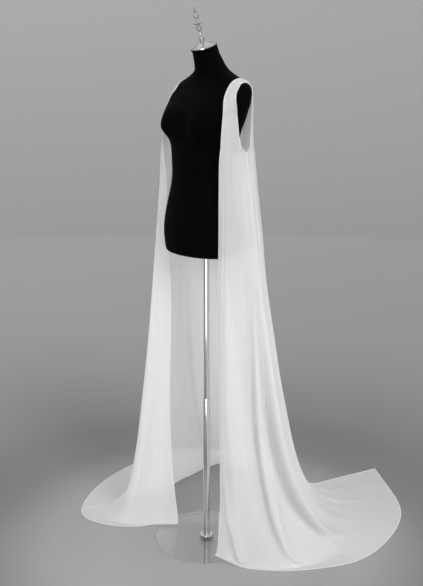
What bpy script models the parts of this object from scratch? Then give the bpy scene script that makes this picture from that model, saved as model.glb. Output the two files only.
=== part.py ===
"""A sheer evening cape in two shoulder wings, worn on a limbless dress form.

The form stands on a telescoping pole and a round glass base. Each wing of the
cape is a front panel and a back panel, joined over the shoulder and down the
side, open at the centre front and at the centre back, with a train at the back.

Frame: metres, +Z up, the origin on the floor on the pole's axis. The form faces
-Y, its left side is +X, and the train runs back to +Y. Wing sections give how
far out from the middle (out) and how far back (back) each edge hangs.
"""
import math
from collections import namedtuple

import bmesh
import bpy
import numpy as np
from mathutils import Matrix, Vector

GAP = 0.0003
CLOTH = 0.0013

# Stand
PLATE_RADIUS = 0.190
PLATE_THICK = 0.008
FLANGE_RADIUS = 0.0255
FLANGE_THICK = 0.004
LOWER_POLE_RADIUS = 0.0125
LOWER_POLE_WALL = 0.0018
LOWER_POLE_TOP = 0.550
UPPER_POLE_RADIUS = LOWER_POLE_RADIUS - LOWER_POLE_WALL - GAP
POLE_OVERLAP = 0.120
SOCKET_DEPTH = 0.080

# Dress form: level rings from the flat bottom up to the base of the neck
FORM_SIDES = 28
NECK_TILT = math.radians(18.0)
NECK_TOP = 1.7600
NECK_TOP_BACK = -0.010
Ring = namedtuple("Ring", "height half_width half_depth centre_back")
FORM_RINGS = (
    Ring(1.0880, 0.1500, 0.1020, -0.018),
    Ring(1.1000, 0.1520, 0.1045, -0.019),
    Ring(1.1300, 0.1545, 0.1070, -0.020),
    Ring(1.1670, 0.1560, 0.1080, -0.020),
    Ring(1.2100, 0.1500, 0.1040, -0.020),
    Ring(1.2600, 0.1370, 0.0970, -0.020),
    Ring(1.3100, 0.1210, 0.0900, -0.020),
    Ring(1.3580, 0.1140, 0.0870, -0.020),
    Ring(1.4000, 0.1180, 0.0885, -0.018),
    Ring(1.4400, 0.1270, 0.0920, -0.012),
    Ring(1.4700, 0.1350, 0.0950, -0.006),
    Ring(1.5050, 0.1450, 0.0985, -0.002),
    Ring(1.5350, 0.1590, 0.1030, 0.000),
    Ring(1.5600, 0.1690, 0.1030, 0.002),
    Ring(1.5850, 0.1765, 0.0930, 0.012),
    Ring(1.6050, 0.1775, 0.0840, 0.019),
    Ring(1.6200, 0.1750, 0.0750, 0.026),
    Ring(1.6320, 0.1700, 0.0690, 0.030),
    Ring(1.6410, 0.1620, 0.0660, 0.032),
    Ring(1.6490, 0.1500, 0.0630, 0.034),
    Ring(1.6560, 0.1340, 0.0600, 0.034),
    Ring(1.6640, 0.1140, 0.0560, 0.033),
    Ring(1.6740, 0.0920, 0.0520, 0.031),
    Ring(1.6850, 0.0720, 0.0490, 0.027),
    Ring(1.7000, 0.0600, 0.0465, 0.019),
    Ring(1.7200, 0.0510, 0.0455, 0.010),
    Ring(1.7420, 0.0440, 0.0440, 0.000),
)
NECK_HALF_WIDTH = 0.0415
NECK_HALF_DEPTH = 0.0425

# Bust: one swell on each side of the front
BUST_OUT = 0.086
BUST_HEIGHT = 1.506
BUST_RISE = 0.040
BUST_SPREAD = 0.050
BUST_SPREAD_BELOW = 0.036
BUST_SPREAD_ABOVE = 0.050

# Neck cap and finial: half profiles, top to bottom, as radius and height
CAP_PROFILE = (
    (0.0000, 0.0100),
    (0.0150, 0.0096),
    (0.0290, 0.0076),
    (0.0380, 0.0050),
    (0.0415, 0.0030),
    (0.0415, 0.0000),
    (0.0000, 0.0000),
)
FINIAL_PROFILE = (
    (0.0000, 0.1200),
    (0.0030, 0.1180),
    (0.0042, 0.1140),
    (0.0022, 0.1100),
    (0.0060, 0.1080),
    (0.0068, 0.1055),
    (0.0040, 0.1020),
    (0.0036, 0.0970),
    (0.0075, 0.0930),
    (0.0090, 0.0880),
    (0.0070, 0.0830),
    (0.0038, 0.0790),
    (0.0050, 0.0740),
    (0.0120, 0.0715),
    (0.0168, 0.0685),
    (0.0150, 0.0650),
    (0.0080, 0.0620),
    (0.0070, 0.0585),
    (0.0105, 0.0550),
    (0.0110, 0.0510),
    (0.0075, 0.0465),
    (0.0050, 0.0400),
    (0.0045, 0.0320),
    (0.0055, 0.0240),
    (0.0095, 0.0200),
    (0.0105, 0.0160),
    (0.0080, 0.0115),
    (0.0060, 0.0080),
    (0.0110, 0.0050),
    (0.0135, 0.0020),
    (0.0135, 0.0000),
    (0.0000, 0.0000),
)

# Wing sections in millimetres, from the shoulder ridge to the hem. Each edge is (out, back).
MM = 0.001
Strap = namedtuple("Strap", "height fall front_edge front_swell arm_front arm_back side rear_swell rear_edge")
STRAPS = (
    Strap(1662.5, 12, (125, 33), (138, 33), (150, 33), (150, 34.5), (143, 34.5), (134, 34.5), (125, 34.5)),
    Strap(1655, 8, (126, 12), (139, 14), (151, 18), (151, 48), (143, 53), (135, 56), (125, 58)),
    Strap(1638, 3, (127, -9), (141, -3), (154, 6), (154, 57), (146, 64), (136, 70), (125, 75)),
    Strap(1620, 0, (130, -25), (144, -19), (158, -8), (158, 57.5), (148, 67), (137, 74), (124, 79.5)),
    Strap(1600, 0, (136, -38), (150, -30), (163, -15.5), (164, 54), (152, 67), (138, 76), (122, 83)),
    Strap(1560, 0, (146, -51), (159, -39), (169.5, -17), (169, 49), (158, 64), (141, 76), (121, 85)),
    Strap(1520, 0, (150, -59), (164, -45), (174.5, -16), (174, 43), (163, 61), (144, 77), (119, 88)),
    Strap(1475, 0, (150, -63), (168, -50), (180, -13), (180, 34), (170, 56), (146, 78), (117, 90)),
    Strap(1445, 0, (149, -64), (170, -52), (184, -1), (184, 24), (175, 53), (147, 79), (116, 92)),
    Strap(1438, 0, (148, -64.5), (171, -53), (185, 11.5), (185, 11.5), (176, 52), (147, 80), (116, 93)),
)
Section = namedtuple("Section", "height front_edge front_swell seam side rear_swell rear_edge")
LEFT_SECTIONS = (
    Section(1300, (145, -67), (178, -55), (205, 15), (190, 56), (149, 90), (108, 110)),
    Section(1165, (147, -69), (184, -60), (219, 18), (200, 65), (152, 105), (100, 130)),
    Section(1030, (145, -69), (190, -64), (232, 20), (209, 74), (154, 121), (92, 150)),
    Section(780, (146, -66), (198, -70), (255, 26), (226, 98), (158, 160), (75, 205)),
    Section(560, (147, -63), (206, -69), (275, 32), (240, 130), (158, 203), (58, 262)),
    Section(290, (146, -58), (222, -54), (298, 46), (268, 180), (164, 278), (28, 355)),
    Section(130, (141, -60), (233, -43), (318, 62), (302, 230), (180, 360), (6, 452)),
    Section(40, (137, -62), (240, -36), (340, 80), (345, 276), (208, 440), (-14, 540)),
    Section(0, (134, -66), (246, -35), (364, 98), (395, 312), (250, 530), (-20, 640)),
    Section(0, (130, -72), (253, -40), (402, 120), (480, 360), (360, 690), (40, 920)),
)
RIGHT_SECTIONS = (
    Section(1300, (142, -56), (181, -57), (212, 12), (195, 60), (152, 95), (102, 112)),
    Section(1165, (152, -57), (191, -63), (228, 13), (213, 70), (160, 112), (96, 138)),
    Section(1030, (149, -45), (201, -69), (244, 15), (235, 80), (170, 132), (92, 162)),
    Section(780, (146, -44), (215, -83), (273, 10), (272, 105), (200, 180), (100, 212)),
    Section(560, (144, -54), (229, -96), (299, 4), (305, 130), (230, 225), (120, 266)),
    Section(290, (136, -55), (254, -115), (342, -5), (350, 164), (290, 310), (155, 362)),
    Section(130, (132, -45), (275, -136), (378, -26), (386, 178), (342, 372), (193, 420)),
    Section(40, (130, -36), (290, -165), (412, -66), (420, 176), (396, 414), (222, 472)),
    Section(0, (130, -34), (298, -192), (440, -122), (480, 156), (462, 438), (242, 526)),
    Section(0, (130, -42), (300, -230), (475, -245), (645, 20), (655, 400), (300, 720)),
)

# Folds: where each starts and ends down the cloth, in metres, and its place across, from 0 at the
# front edge, by 2 at the side seam, to 5 at the centre-back edge. A trough has a negative rise.
Fold = namedtuple("Fold", "start end across_top across_low across_end rise width")
LEFT_FOLDS = (
    Fold(0.60, 2.10, 0.35, 0.25, 0.42, 0.013, 0.026),
    Fold(0.70, 2.10, 0.70, 0.62, 0.78, -0.010, 0.026),
    Fold(0.40, 2.05, 1.55, 1.62, 1.95, 0.018, 0.030),
    Fold(0.55, 2.05, 1.90, 1.95, 2.35, -0.013, 0.026),
    Fold(0.25, 2.10, 2.10, 2.25, 3.25, 0.020, 0.032),
    Fold(0.55, 2.05, 2.60, 2.72, 3.62, -0.015, 0.030),
    Fold(0.25, 2.10, 2.95, 3.15, 4.00, 0.015, 0.034),
    Fold(0.45, 2.00, 3.55, 3.60, 4.25, -0.012, 0.032),
    Fold(0.25, 2.08, 4.00, 4.10, 4.60, 0.013, 0.034),
    Fold(0.45, 1.95, 4.55, 4.60, 4.85, -0.010, 0.030),
)
RIGHT_FOLDS = (
    Fold(0.45, 2.10, 0.55, 0.50, 0.45, 0.010, 0.030),
    Fold(0.50, 2.10, 1.10, 1.15, 1.15, 0.013, 0.036),
    Fold(0.50, 2.05, 1.60, 1.70, 1.60, -0.012, 0.032),
    Fold(0.30, 2.10, 2.15, 2.30, 2.10, 0.016, 0.038),
    Fold(0.45, 2.00, 2.80, 2.75, 2.60, -0.012, 0.032),
    Fold(0.30, 2.08, 3.20, 3.25, 3.20, 0.015, 0.036),
    Fold(0.45, 1.95, 3.75, 3.75, 3.80, -0.010, 0.032),
    Fold(0.30, 2.05, 4.20, 4.25, 4.35, 0.013, 0.036),
)

# Down the cloth: where folds pass their low place, reach full depth, and how they narrow and fade
FOLD_LOW = 1.25
FOLD_FULL = 1.45
FOLD_NARROW = 0.45
FOLD_FADE = 0.35

# Gathers over the shoulder
GATHERS = 4
GATHER_RISE = 0.0010
GATHER_FADE = 0.20

# Clearance of the cloth from the form: over the shoulder, down the strap, and below it
SHOULDER_CLEARANCE = 0.0008
STRAP_CLEARANCE = 0.0015
BODY_CLEARANCE = 0.0030

# How the cloth comes off the glass base: level to the first distance, down by the second
STEP_START = 0.020
STEP_END = 0.080

# Run of hem on the floor below which folds stand upright, and above which they lie over
SHORT_RUN = 0.06
LONG_RUN = 0.20
SEAM_GAP = GAP + CLOTH * 0.6
BEND_HEIGHT = 0.16

RIDGE_LENGTH = 0.09
Grid = namedtuple("Grid", "columns ridge_rows strap_rows hang_rows floor_rows")
FRONT_GRID = Grid(14, 7, 5, 8, 7)
BACK_GRID = Grid(24, 8, 5, 9, 10)
Span = namedtuple("Span", "first last")
FRONT_SPAN = Span(0.0, 2.0)
BACK_SPAN = Span(2.0, 5.0)


def smooth(knots, values, places):
    """Read a smooth curve through values at knots, at each of the places."""
    knots = np.asarray(knots, float)
    values = np.asarray(values, float)
    places = np.clip(places, knots[0], knots[-1])
    steps = np.diff(knots)
    slopes = np.diff(values, axis=0) / steps.reshape((-1,) + (1,) * (values.ndim - 1))
    tangents = np.empty_like(values)
    tangents[0] = slopes[0]
    tangents[-1] = slopes[-1]
    for k in range(1, len(knots) - 1):
        ahead = steps[k - 1] / (steps[k - 1] + steps[k])
        tangents[k] = slopes[k - 1] * (1.0 - ahead) + slopes[k] * ahead
    at = np.clip(np.searchsorted(knots, places, side="right") - 1, 0, len(steps) - 1)
    return hermite(values[at], values[at + 1], tangents[at], tangents[at + 1], steps[at], places - knots[at])


def hermite(start, end, start_slope, end_slope, step, reach):
    """Cubic between two points with given slopes, reach along a step."""
    shape = (-1,) + (1,) * (np.ndim(start) - 1)
    step = np.reshape(step, shape)
    u = np.reshape(reach, shape) / step
    return ((2 * u**3 - 3 * u**2 + 1) * start + (u**3 - 2 * u**2 + u) * step * start_slope
            + (3 * u**2 - 2 * u**3) * end + (u**3 - u**2) * step * end_slope)


def ease(value, low, high):
    """Rise smoothly from 0 at low to 1 at high."""
    u = np.clip((np.asarray(value, float) - low) / (high - low), 0.0, 1.0)
    return u * u * (3.0 - 2.0 * u)


def form_ring(height):
    """Half width, half depth and centre of the form at each height."""
    table = [[ring.half_width, ring.half_depth, ring.centre_back] for ring in FORM_RINGS]
    return smooth([ring.height for ring in FORM_RINGS], table, height)


def bust_swell(out, height):
    """How far the bust stands forward of the plain ring."""
    spread = np.where(height < BUST_HEIGHT, BUST_SPREAD_BELOW, BUST_SPREAD_ABOVE)
    across = (np.abs(out) - BUST_OUT) / BUST_SPREAD
    along = (height - BUST_HEIGHT) / spread
    return BUST_RISE * np.exp(-across**2 - along**2)


def form_clearance(points):
    """Distance outside the form's skin, and the way out, at each point."""
    def depth(p):
        ring = form_ring(p[:, 2])
        back = p[:, 1] - ring[:, 2]
        back = np.where(back < 0.0, np.minimum(back + bust_swell(p[:, 0], p[:, 2]), 0.0), back)
        return np.hypot(p[:, 0] / ring[:, 0], back / ring[:, 1])

    nudge = 0.0005
    here = depth(points)
    slope = np.stack([(depth(points + axis * nudge) - depth(points - axis * nudge)) / (2 * nudge)
                      for axis in np.eye(3)], axis=1)
    steep = np.maximum(np.linalg.norm(slope, axis=1), 1.0)
    return (here - 1.0) / steep, slope / steep[:, None]


def lift_off_form(points, clearance):
    """Move points that are too near the form out to their clearance."""
    points = points.copy()
    near = points[:, 2] > FORM_RINGS[0].height - 0.02
    for _ in range(6):
        distance, way = form_clearance(points[near])
        short = np.maximum(clearance[near] - distance, 0.0)
        points[near] += way * short[:, None]
    return points


def ground(points):
    """Height of what the cloth rests on: the floor, or the glass base."""
    reach = np.hypot(points[:, 0], points[:, 1]) - PLATE_RADIUS
    return (PLATE_THICK + GAP) * (1.0 - ease(reach, STEP_START, STEP_END))


class Wing:
    """One shoulder wing: a surface from the shoulder ridge to the hem."""

    def __init__(self, side, sections, folds):
        """Lay out the rails that run down the cloth, for the left (1) or right (-1)."""
        self.side = side
        self.folds = folds
        self.arm_row = len(STRAPS) - 1
        rails = {"front_edge": [], "front_swell": [], "front_seam": [], "back_seam": [],
                 "side": [], "rear_swell": [], "rear_edge": []}
        for row in STRAPS:
            rails["front_edge"].append((*row.front_edge, row.height))
            rails["front_swell"].append((*row.front_swell, row.height - row.fall / 2))
            rails["front_seam"].append((*row.arm_front, row.height - row.fall))
            rails["back_seam"].append((*row.arm_back, row.height - row.fall))
            rails["side"].append((*row.side, row.height - 2 * row.fall / 3))
            rails["rear_swell"].append((*row.rear_swell, row.height - row.fall / 3))
            rails["rear_edge"].append((*row.rear_edge, row.height))
        for row in sections:
            for name, edge in (("front_edge", row.front_edge), ("front_swell", row.front_swell),
                               ("front_seam", row.seam), ("back_seam", row.seam), ("side", row.side),
                               ("rear_swell", row.rear_swell), ("rear_edge", row.rear_edge)):
                rails[name].append((*edge, row.height))
        self.rails = {name: np.array(points) * MM for name, points in rails.items()}
        lengths = [np.linalg.norm(np.diff(points, axis=0), axis=1) for points in self.rails.values()]
        self.down = np.concatenate([[0.0], np.cumsum(np.mean(lengths, axis=0))])
        self.arm = self.down[self.arm_row]
        self.touch = self.down[-2]
        self.hem = self.down[-1]

    def rail(self, name, down):
        """Points of one rail. A seam rail turns sharply at the armhole's bottom."""
        points = self.rails[name]
        if not name.endswith("seam"):
            return smooth(self.down, points, down)
        cut = self.arm_row
        above = smooth(self.down[:cut + 1], points[:cut + 1], down)
        below = smooth(self.down[cut:], points[cut:], down)
        return np.where((down < self.arm)[:, None], above, below)

    def plain(self, across, down):
        """The surface before folds, at places across (0 to 5) and down (metres)."""
        seam = "front_seam" if across.mean() < 2.0 else "back_seam"
        names = ("front_edge", "front_swell", seam, "side", "rear_swell", "rear_edge")
        rails = np.stack([self.rail(name, down) for name in names])
        slopes = np.empty_like(rails)
        slopes[1:-1] = (rails[2:] - rails[:-2]) / 2.0
        slopes[0] = rails[1] - rails[0]
        slopes[-1] = rails[-1] - rails[-2]
        lone = rails[2] - rails[1] if seam == "front_seam" else rails[3] - rails[2]
        joined = ease(down, self.arm, self.arm + 0.10)[:, None]
        slopes[2] = lone * (1.0 - joined) + slopes[2] * joined
        if seam == "front_seam":
            slopes[1] = slopes[1] * joined + (rails[2] - rails[0]) / 2.0 * (1.0 - joined)
        else:
            slopes[3] = slopes[3] * joined + (rails[4] - rails[2]) / 2.0 * (1.0 - joined)
        at = np.clip(np.floor(across).astype(int), 0, 4)
        pick = np.arange(len(down))
        return hermite(rails[at, pick], rails[at + 1, pick], slopes[at, pick], slopes[at + 1, pick],
                       np.ones(len(down)), across - at)

    def outward(self, across, down):
        """Surface normal, and metres for each step across."""
        nudge = 0.004
        wide = self.plain(across + nudge, down) - self.plain(across - nudge, down)
        long = self.plain(across, down + nudge) - self.plain(across, down - nudge)
        normal = np.cross(long, wide)
        normal /= np.maximum(np.linalg.norm(normal, axis=1), 1e-9)[:, None]
        return normal, np.linalg.norm(wide, axis=1) / (2 * nudge)

    def fold_rise(self, across, down, metres):
        """How far the folds push the cloth out at each place."""
        rise = np.zeros(len(down))
        for fold in self.folds:
            places = (fold.across_top, fold.across_low, fold.across_end)
            path = smooth((self.arm, FOLD_LOW, self.hem), places, down)
            spread = FOLD_NARROW + (1.0 - FOLD_NARROW) * ease(down, self.arm, FOLD_FULL)
            away = (across - path) * metres / (fold.width * spread)
            grown = ease(down, fold.start, FOLD_FULL) * (1.0 - ease(down, fold.end - FOLD_FADE, fold.end))
            rise += fold.rise * grown * np.exp(-away**2)
        first, last = (0.0, 2.0) if across.mean() < 2.0 else (2.0, 5.0)
        wave = 0.5 - 0.5 * np.cos(2 * math.pi * GATHERS * (across - first) / (last - first))
        return rise + GATHER_RISE * wave * (1.0 - ease(down, self.arm - GATHER_FADE, self.arm))

    def lying_share(self, across):
        """How much of a fold lies over on the floor: none where the hem only just touches it."""
        ends = [self.plain(across, np.full(len(across), down)) for down in (self.touch, self.hem)]
        return ease(np.linalg.norm(ends[1] - ends[0], axis=1), SHORT_RUN, LONG_RUN)

    def surface(self, across, down):
        """Inner face of the finished cloth, as left-hand points."""
        points = self.plain(across, down)
        clearance = np.interp(down, (0.02, 0.06, 0.10, 0.18),
                              (SHOULDER_CLEARANCE, STRAP_CLEARANCE, STRAP_CLEARANCE, BODY_CLEARANCE))
        points = lift_off_form(points, clearance)
        normal, metres = self.outward(across, down)
        hanging, _ = self.outward(across, np.minimum(down, self.touch - 0.10))
        lying = self.lying_share(across)[:, None]
        way = normal * lying + hanging * (1.0 - lying)
        points += way * self.fold_rise(across, down, metres)[:, None]
        points = lift_off_form(points, clearance)
        points[:, 2] = np.maximum(points[:, 2], ground(points))
        points[:, 0] *= self.side
        return points


def material(name, colour, roughness, metallic=0.0, alpha=1.0, transmission=0.0):
    """A Principled finish."""
    finish = bpy.data.materials.new(name)
    finish.use_nodes = True
    shader = finish.node_tree.nodes["Principled BSDF"]
    shader.inputs["Base Color"].default_value = (*colour, 1.0)
    shader.inputs["Roughness"].default_value = roughness
    shader.inputs["Metallic"].default_value = metallic
    shader.inputs["Alpha"].default_value = alpha
    shader.inputs["Transmission Weight"].default_value = transmission
    finish.diffuse_color = (*colour, alpha)
    return finish


def add_object(name, mesh, collection, finish):
    """Put a mesh in the collection as one named object."""
    piece = bpy.data.objects.new(name, mesh)
    piece.data.materials.clear()
    piece.data.materials.append(finish)
    collection.objects.link(piece)
    return piece


def panel(name, wing, span, grid, collection, finish):
    """One panel of cloth: a plane bent onto the wing's surface, then given its wall."""
    marks = np.cumsum([0, *grid[1:]])
    rows = int(marks[-1])
    downs = np.array([0.0, RIDGE_LENGTH, wing.arm, wing.touch - BEND_HEIGHT, wing.hem])
    frame = bmesh.new()
    bmesh.ops.create_grid(frame, x_segments=grid.columns, y_segments=rows, size=0.5)
    flat = np.array([vert.co for vert in frame.verts])
    share = (flat[:, 1] + 0.5) if wing.side < 0 else (0.5 - flat[:, 1])
    down = np.interp(share * rows, marks, downs)
    across = span.first + (flat[:, 0] + 0.5) * (span.last - span.first)
    inset = SEAM_GAP / 2 if span.first == BACK_SPAN.first else -SEAM_GAP / 2
    _, metres = wing.outward(across, down)
    at_seam = np.abs(across - FRONT_SPAN.last) < 1e-6
    across = across + np.where(at_seam, inset / np.maximum(metres, 0.01), 0.0)
    for vert, point in zip(frame.verts, wing.surface(across, down)):
        vert.co = point
    mesh = bpy.data.meshes.new(name)
    frame.to_mesh(mesh)
    frame.free()
    piece = add_object(name, mesh, collection, finish)
    wall = piece.modifiers.new("wall", "SOLIDIFY")
    wall.thickness = CLOTH
    wall.offset = 1.0
    wall.use_even_offset = True
    piece.data.shade_smooth()
    return piece


def form_loft():
    """Rings of the dress form joined into one closed skin, with a tilted neck top."""
    frame = bmesh.new()
    turns = np.arange(FORM_SIDES) * 2 * math.pi / FORM_SIDES
    loops = []
    for ring in FORM_RINGS:
        out = ring.half_width * np.cos(turns)
        back = ring.half_depth * np.sin(turns)
        back -= np.where(back < 0.0, bust_swell(out, ring.height) * ease(-back, 0.0, 0.02), 0.0)
        loops.append([frame.verts.new((x, y + ring.centre_back, ring.height)) for x, y in zip(out, back)])
    lean = math.tan(NECK_TILT)
    loops.append([frame.verts.new((NECK_HALF_WIDTH * math.cos(turn),
                                   NECK_TOP_BACK + NECK_HALF_DEPTH * math.sin(turn),
                                   NECK_TOP + NECK_HALF_DEPTH * math.sin(turn) * lean)) for turn in turns])
    for low, high in zip(loops, loops[1:]):
        for k in range(FORM_SIDES):
            after = (k + 1) % FORM_SIDES
            frame.faces.new((low[k], low[after], high[after], high[k]))
    frame.faces.new(list(reversed(loops[0])))
    frame.faces.new(loops[-1])
    mesh = bpy.data.meshes.new("form_body")
    frame.to_mesh(mesh)
    frame.free()
    return mesh


def turned(name, profile, sides, collection, finish):
    """A turned piece: its half profile spun about its own Z axis."""
    mesh = bpy.data.meshes.new(name)
    points = [(radius, 0.0, height) for radius, height in profile]
    mesh.from_pydata(points, [(k, k + 1) for k in range(len(points) - 1)], [])
    piece = add_object(name, mesh, collection, finish)
    spin = piece.modifiers.new("turn", "SCREW")
    spin.axis = "Z"
    spin.angle = 2 * math.pi
    spin.steps = sides
    spin.render_steps = sides
    spin.use_merge_vertices = True
    spin.merge_threshold = 0.00005
    spin.use_smooth_shade = True
    return piece


def cylinder(name, radius, low, high, sides, collection, finish):
    """An upright cylinder on the pole's axis."""
    frame = bmesh.new()
    bmesh.ops.create_cone(frame, cap_ends=True, segments=sides, radius1=radius, radius2=radius,
                          depth=high - low)
    mesh = bpy.data.meshes.new(name)
    frame.to_mesh(mesh)
    frame.free()
    piece = add_object(name, mesh, collection, finish)
    piece.location = (0.0, 0.0, (low + high) / 2)
    return piece


def cut(piece, tool):
    """Take the tool's shape out of the piece."""
    tool.hide_render = True
    tool.display_type = "WIRE"
    hole = piece.modifiers.new("cut", "BOOLEAN")
    hole.operation = "DIFFERENCE"
    hole.object = tool


def bevel(piece, width):
    """Break the sharp edges."""
    edge = piece.modifiers.new("edge", "BEVEL")
    edge.width = width
    edge.segments = 2
    edge.limit_method = "ANGLE"


def build_stand(parts, cutters):
    """The glass base, its chrome flange and the two poles."""
    glass = material("clear_glass", (0.86, 0.90, 0.90), 0.08, transmission=0.9)
    chrome = material("chrome", (0.78, 0.78, 0.79), 0.12, metallic=1.0)
    plate = cylinder("base_plate", PLATE_RADIUS, 0.0, PLATE_THICK, 64, parts, glass)
    bevel(plate, 0.0015)
    foot = PLATE_THICK + GAP
    bore = LOWER_POLE_RADIUS - LOWER_POLE_WALL
    floor = LOWER_POLE_TOP - POLE_OVERLAP
    turned("lower_pole", ((bore, LOWER_POLE_TOP), (bore, floor), (0.0, floor), (0.0, foot),
                          (LOWER_POLE_RADIUS, foot), (LOWER_POLE_RADIUS, LOWER_POLE_TOP),
                          (bore, LOWER_POLE_TOP))[::-1], 24, parts, chrome)
    inner = LOWER_POLE_RADIUS + GAP
    high = foot + FLANGE_THICK
    edge = foot + FLANGE_THICK / 2
    turned("base_flange", ((inner, high), (FLANGE_RADIUS * 0.86, high), (FLANGE_RADIUS, edge),
                           (FLANGE_RADIUS, foot), (inner, foot), (inner, high)), 32, parts, chrome)
    top = FORM_RINGS[0].height + SOCKET_DEPTH
    cylinder("upper_pole", UPPER_POLE_RADIUS, floor + GAP, top - GAP, 24, parts, chrome)
    return cylinder("socket_cutter", UPPER_POLE_RADIUS + GAP, FORM_RINGS[0].height - 0.01, top, 24,
                    cutters, chrome)


def build_form(parts, socket):
    """The black form, and the chrome cap and finial on its tilted neck."""
    black = material("black_form", (0.012, 0.012, 0.013), 0.55)
    chrome = material("bright_chrome", (0.80, 0.80, 0.81), 0.10, metallic=1.0)
    body = add_object("form_body", form_loft(), parts, black)
    body.data.shade_smooth()
    cut(body, socket)
    lean = Matrix.Rotation(NECK_TILT, 4, "X")
    up = lean @ Vector((0.0, 0.0, 1.0))
    seat = Vector((0.0, NECK_TOP_BACK, NECK_TOP)) + up * GAP
    cap = turned("neck_cap", CAP_PROFILE, 32, parts, chrome)
    cap.matrix_world = Matrix.Translation(seat) @ lean
    finial = turned("neck_finial", FINIAL_PROFILE, 16, parts, chrome)
    finial.matrix_world = Matrix.Translation(seat + up * (CAP_PROFILE[0][1] + GAP)) @ lean


def build_cape(parts):
    """The two wings, each a front panel and a back panel."""
    chiffon = material("white_chiffon", (0.86, 0.86, 0.86), 0.75, alpha=0.8)
    for side, word, sections, folds in ((1, "left", LEFT_SECTIONS, LEFT_FOLDS),
                                        (-1, "right", RIGHT_SECTIONS, RIGHT_FOLDS)):
        wing = Wing(side, sections, folds)
        panel(f"{word}_front", wing, FRONT_SPAN, FRONT_GRID, parts, chiffon)
        panel(f"{word}_back", wing, BACK_SPAN, BACK_GRID, parts, chiffon)


def collection_named(name):
    """A new collection in the scene."""
    made = bpy.data.collections.new(name)
    bpy.context.scene.collection.children.link(made)
    return made


def main():
    """Build the whole part."""
    for old in list(bpy.data.objects):
        bpy.data.objects.remove(old, do_unlink=True)
    parts = collection_named("evening_cape_on_dress_form")
    cutters = collection_named("cutters")
    socket = build_stand(parts, cutters)
    build_form(parts, socket)
    build_cape(parts)


main()
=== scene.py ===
"""Looks of an evening cape on its dress form: chiffon, hems, form, chrome, glass and studio.

Metres, +Z up, origin on the floor on the pole's axis. The form faces -Y and its left side is +X.
The cloth follows the same rails and folds as the solids, with a finer surface and more creases.
"""
from __future__ import annotations

import logging
import math
from dataclasses import dataclass
from enum import Enum
from typing import Any, Sequence

import bmesh
import bpy
import numpy as np
from mathutils import Matrix, Vector


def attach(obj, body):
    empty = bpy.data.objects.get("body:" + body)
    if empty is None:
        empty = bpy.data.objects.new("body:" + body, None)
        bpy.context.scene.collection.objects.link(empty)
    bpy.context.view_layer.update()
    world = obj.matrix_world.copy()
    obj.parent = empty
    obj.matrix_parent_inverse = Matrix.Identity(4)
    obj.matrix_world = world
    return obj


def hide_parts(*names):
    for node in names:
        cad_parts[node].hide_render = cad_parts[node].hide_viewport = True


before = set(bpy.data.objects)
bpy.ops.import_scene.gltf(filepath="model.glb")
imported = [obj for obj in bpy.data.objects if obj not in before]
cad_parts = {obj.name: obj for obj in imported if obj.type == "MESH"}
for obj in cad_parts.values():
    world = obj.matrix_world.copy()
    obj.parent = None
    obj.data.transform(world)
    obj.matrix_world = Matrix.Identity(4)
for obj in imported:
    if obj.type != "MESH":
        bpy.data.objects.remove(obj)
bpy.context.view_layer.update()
LOG = logging.getLogger("evening_cape")

MM = 0.001
# Clearance between pieces that touch, and the thickness of the solids' cloth
GAP = 0.0003
CLOTH = 0.0013
BODY = "root"
CUT_MAP = "cut"
# Point attribute that holds the shade painted into the cloth's folds and beside its creases
FOLD_SHADE = "fold_shade"
Array = np.ndarray
Pair = tuple[float, float]
Triple = tuple[float, float, float]
EVEN: Triple = (1.0, 1.0, 1.0)
CLEAR = (1.0, 1.0, 1.0, 1.0)


class Side(Enum):
    """The wearer's side that a wing hangs on."""

    LEFT = 1
    RIGHT = -1


class Layout(Enum):
    """What an uneven pattern is laid out on."""

    PIECE = "the piece itself, in metres"
    CUT = "the flat cut of the cloth, in metres"


class Slot(Enum):
    """Material slots of the record."""

    CHIFFON = "chiffon"
    FORM = "form_cover"
    METAL = "bright_metal"
    GLASS = "base_glass"


# Curves

def ease(value: Array, low: float, high: float) -> Array:
    """Rise smoothly from 0 at low to 1 at high."""
    share = np.clip((np.asarray(value, float) - low) / (high - low), 0.0, 1.0)
    return share * share * (3.0 - 2.0 * share)


def hermite(start: Array, end: Array, start_slope: Array, end_slope: Array, step: Array,
            reach: Array) -> Array:
    """Cubic between two points with given slopes.

    Args:
        start: first point, one row for each place.
        end: last point.
        start_slope: slope at the first point, for one unit of reach.
        end_slope: slope at the last point.
        step: length of the interval.
        reach: how far into the interval each place is.

    Returns:
        The points reached.
    """
    shape = (-1,) + (1,) * (np.ndim(start) - 1)
    step = np.reshape(step, shape)
    u = np.reshape(reach, shape) / step
    return ((2 * u**3 - 3 * u**2 + 1) * start + (u**3 - 2 * u**2 + u) * step * start_slope
            + (3 * u**2 - 2 * u**3) * end + (u**3 - u**2) * step * end_slope)


def smooth(knots: Sequence[float], values: Any, places: Array) -> Array:
    """Read a smooth curve through values at knots.

    Args:
        knots: rising positions along the curve.
        values: one value or point for each knot.
        places: where the curve is read.

    Returns:
        The value or point at each place.
    """
    knots = np.asarray(knots, float)
    values = np.asarray(values, float)
    places = np.clip(places, knots[0], knots[-1])
    steps = np.diff(knots)
    shape = (-1,) + (1,) * (values.ndim - 1)
    slopes = np.diff(values, axis=0) / steps.reshape(shape)
    ahead = (steps[:-1] / (steps[:-1] + steps[1:])).reshape(shape)
    inner = slopes[:-1] * (1.0 - ahead) + slopes[1:] * ahead
    tangents = np.concatenate([slopes[:1], inner, slopes[-1:]])
    at = np.clip(np.searchsorted(knots, places, side="right") - 1, 0, len(steps) - 1)
    return hermite(values[at], values[at + 1], tangents[at], tangents[at + 1], steps[at],
                   places - knots[at])


def unit(vectors: Array) -> Array:
    """Each row at length 1."""
    return vectors / np.maximum(np.linalg.norm(vectors, axis=1), 1e-9)[:, None]


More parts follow.
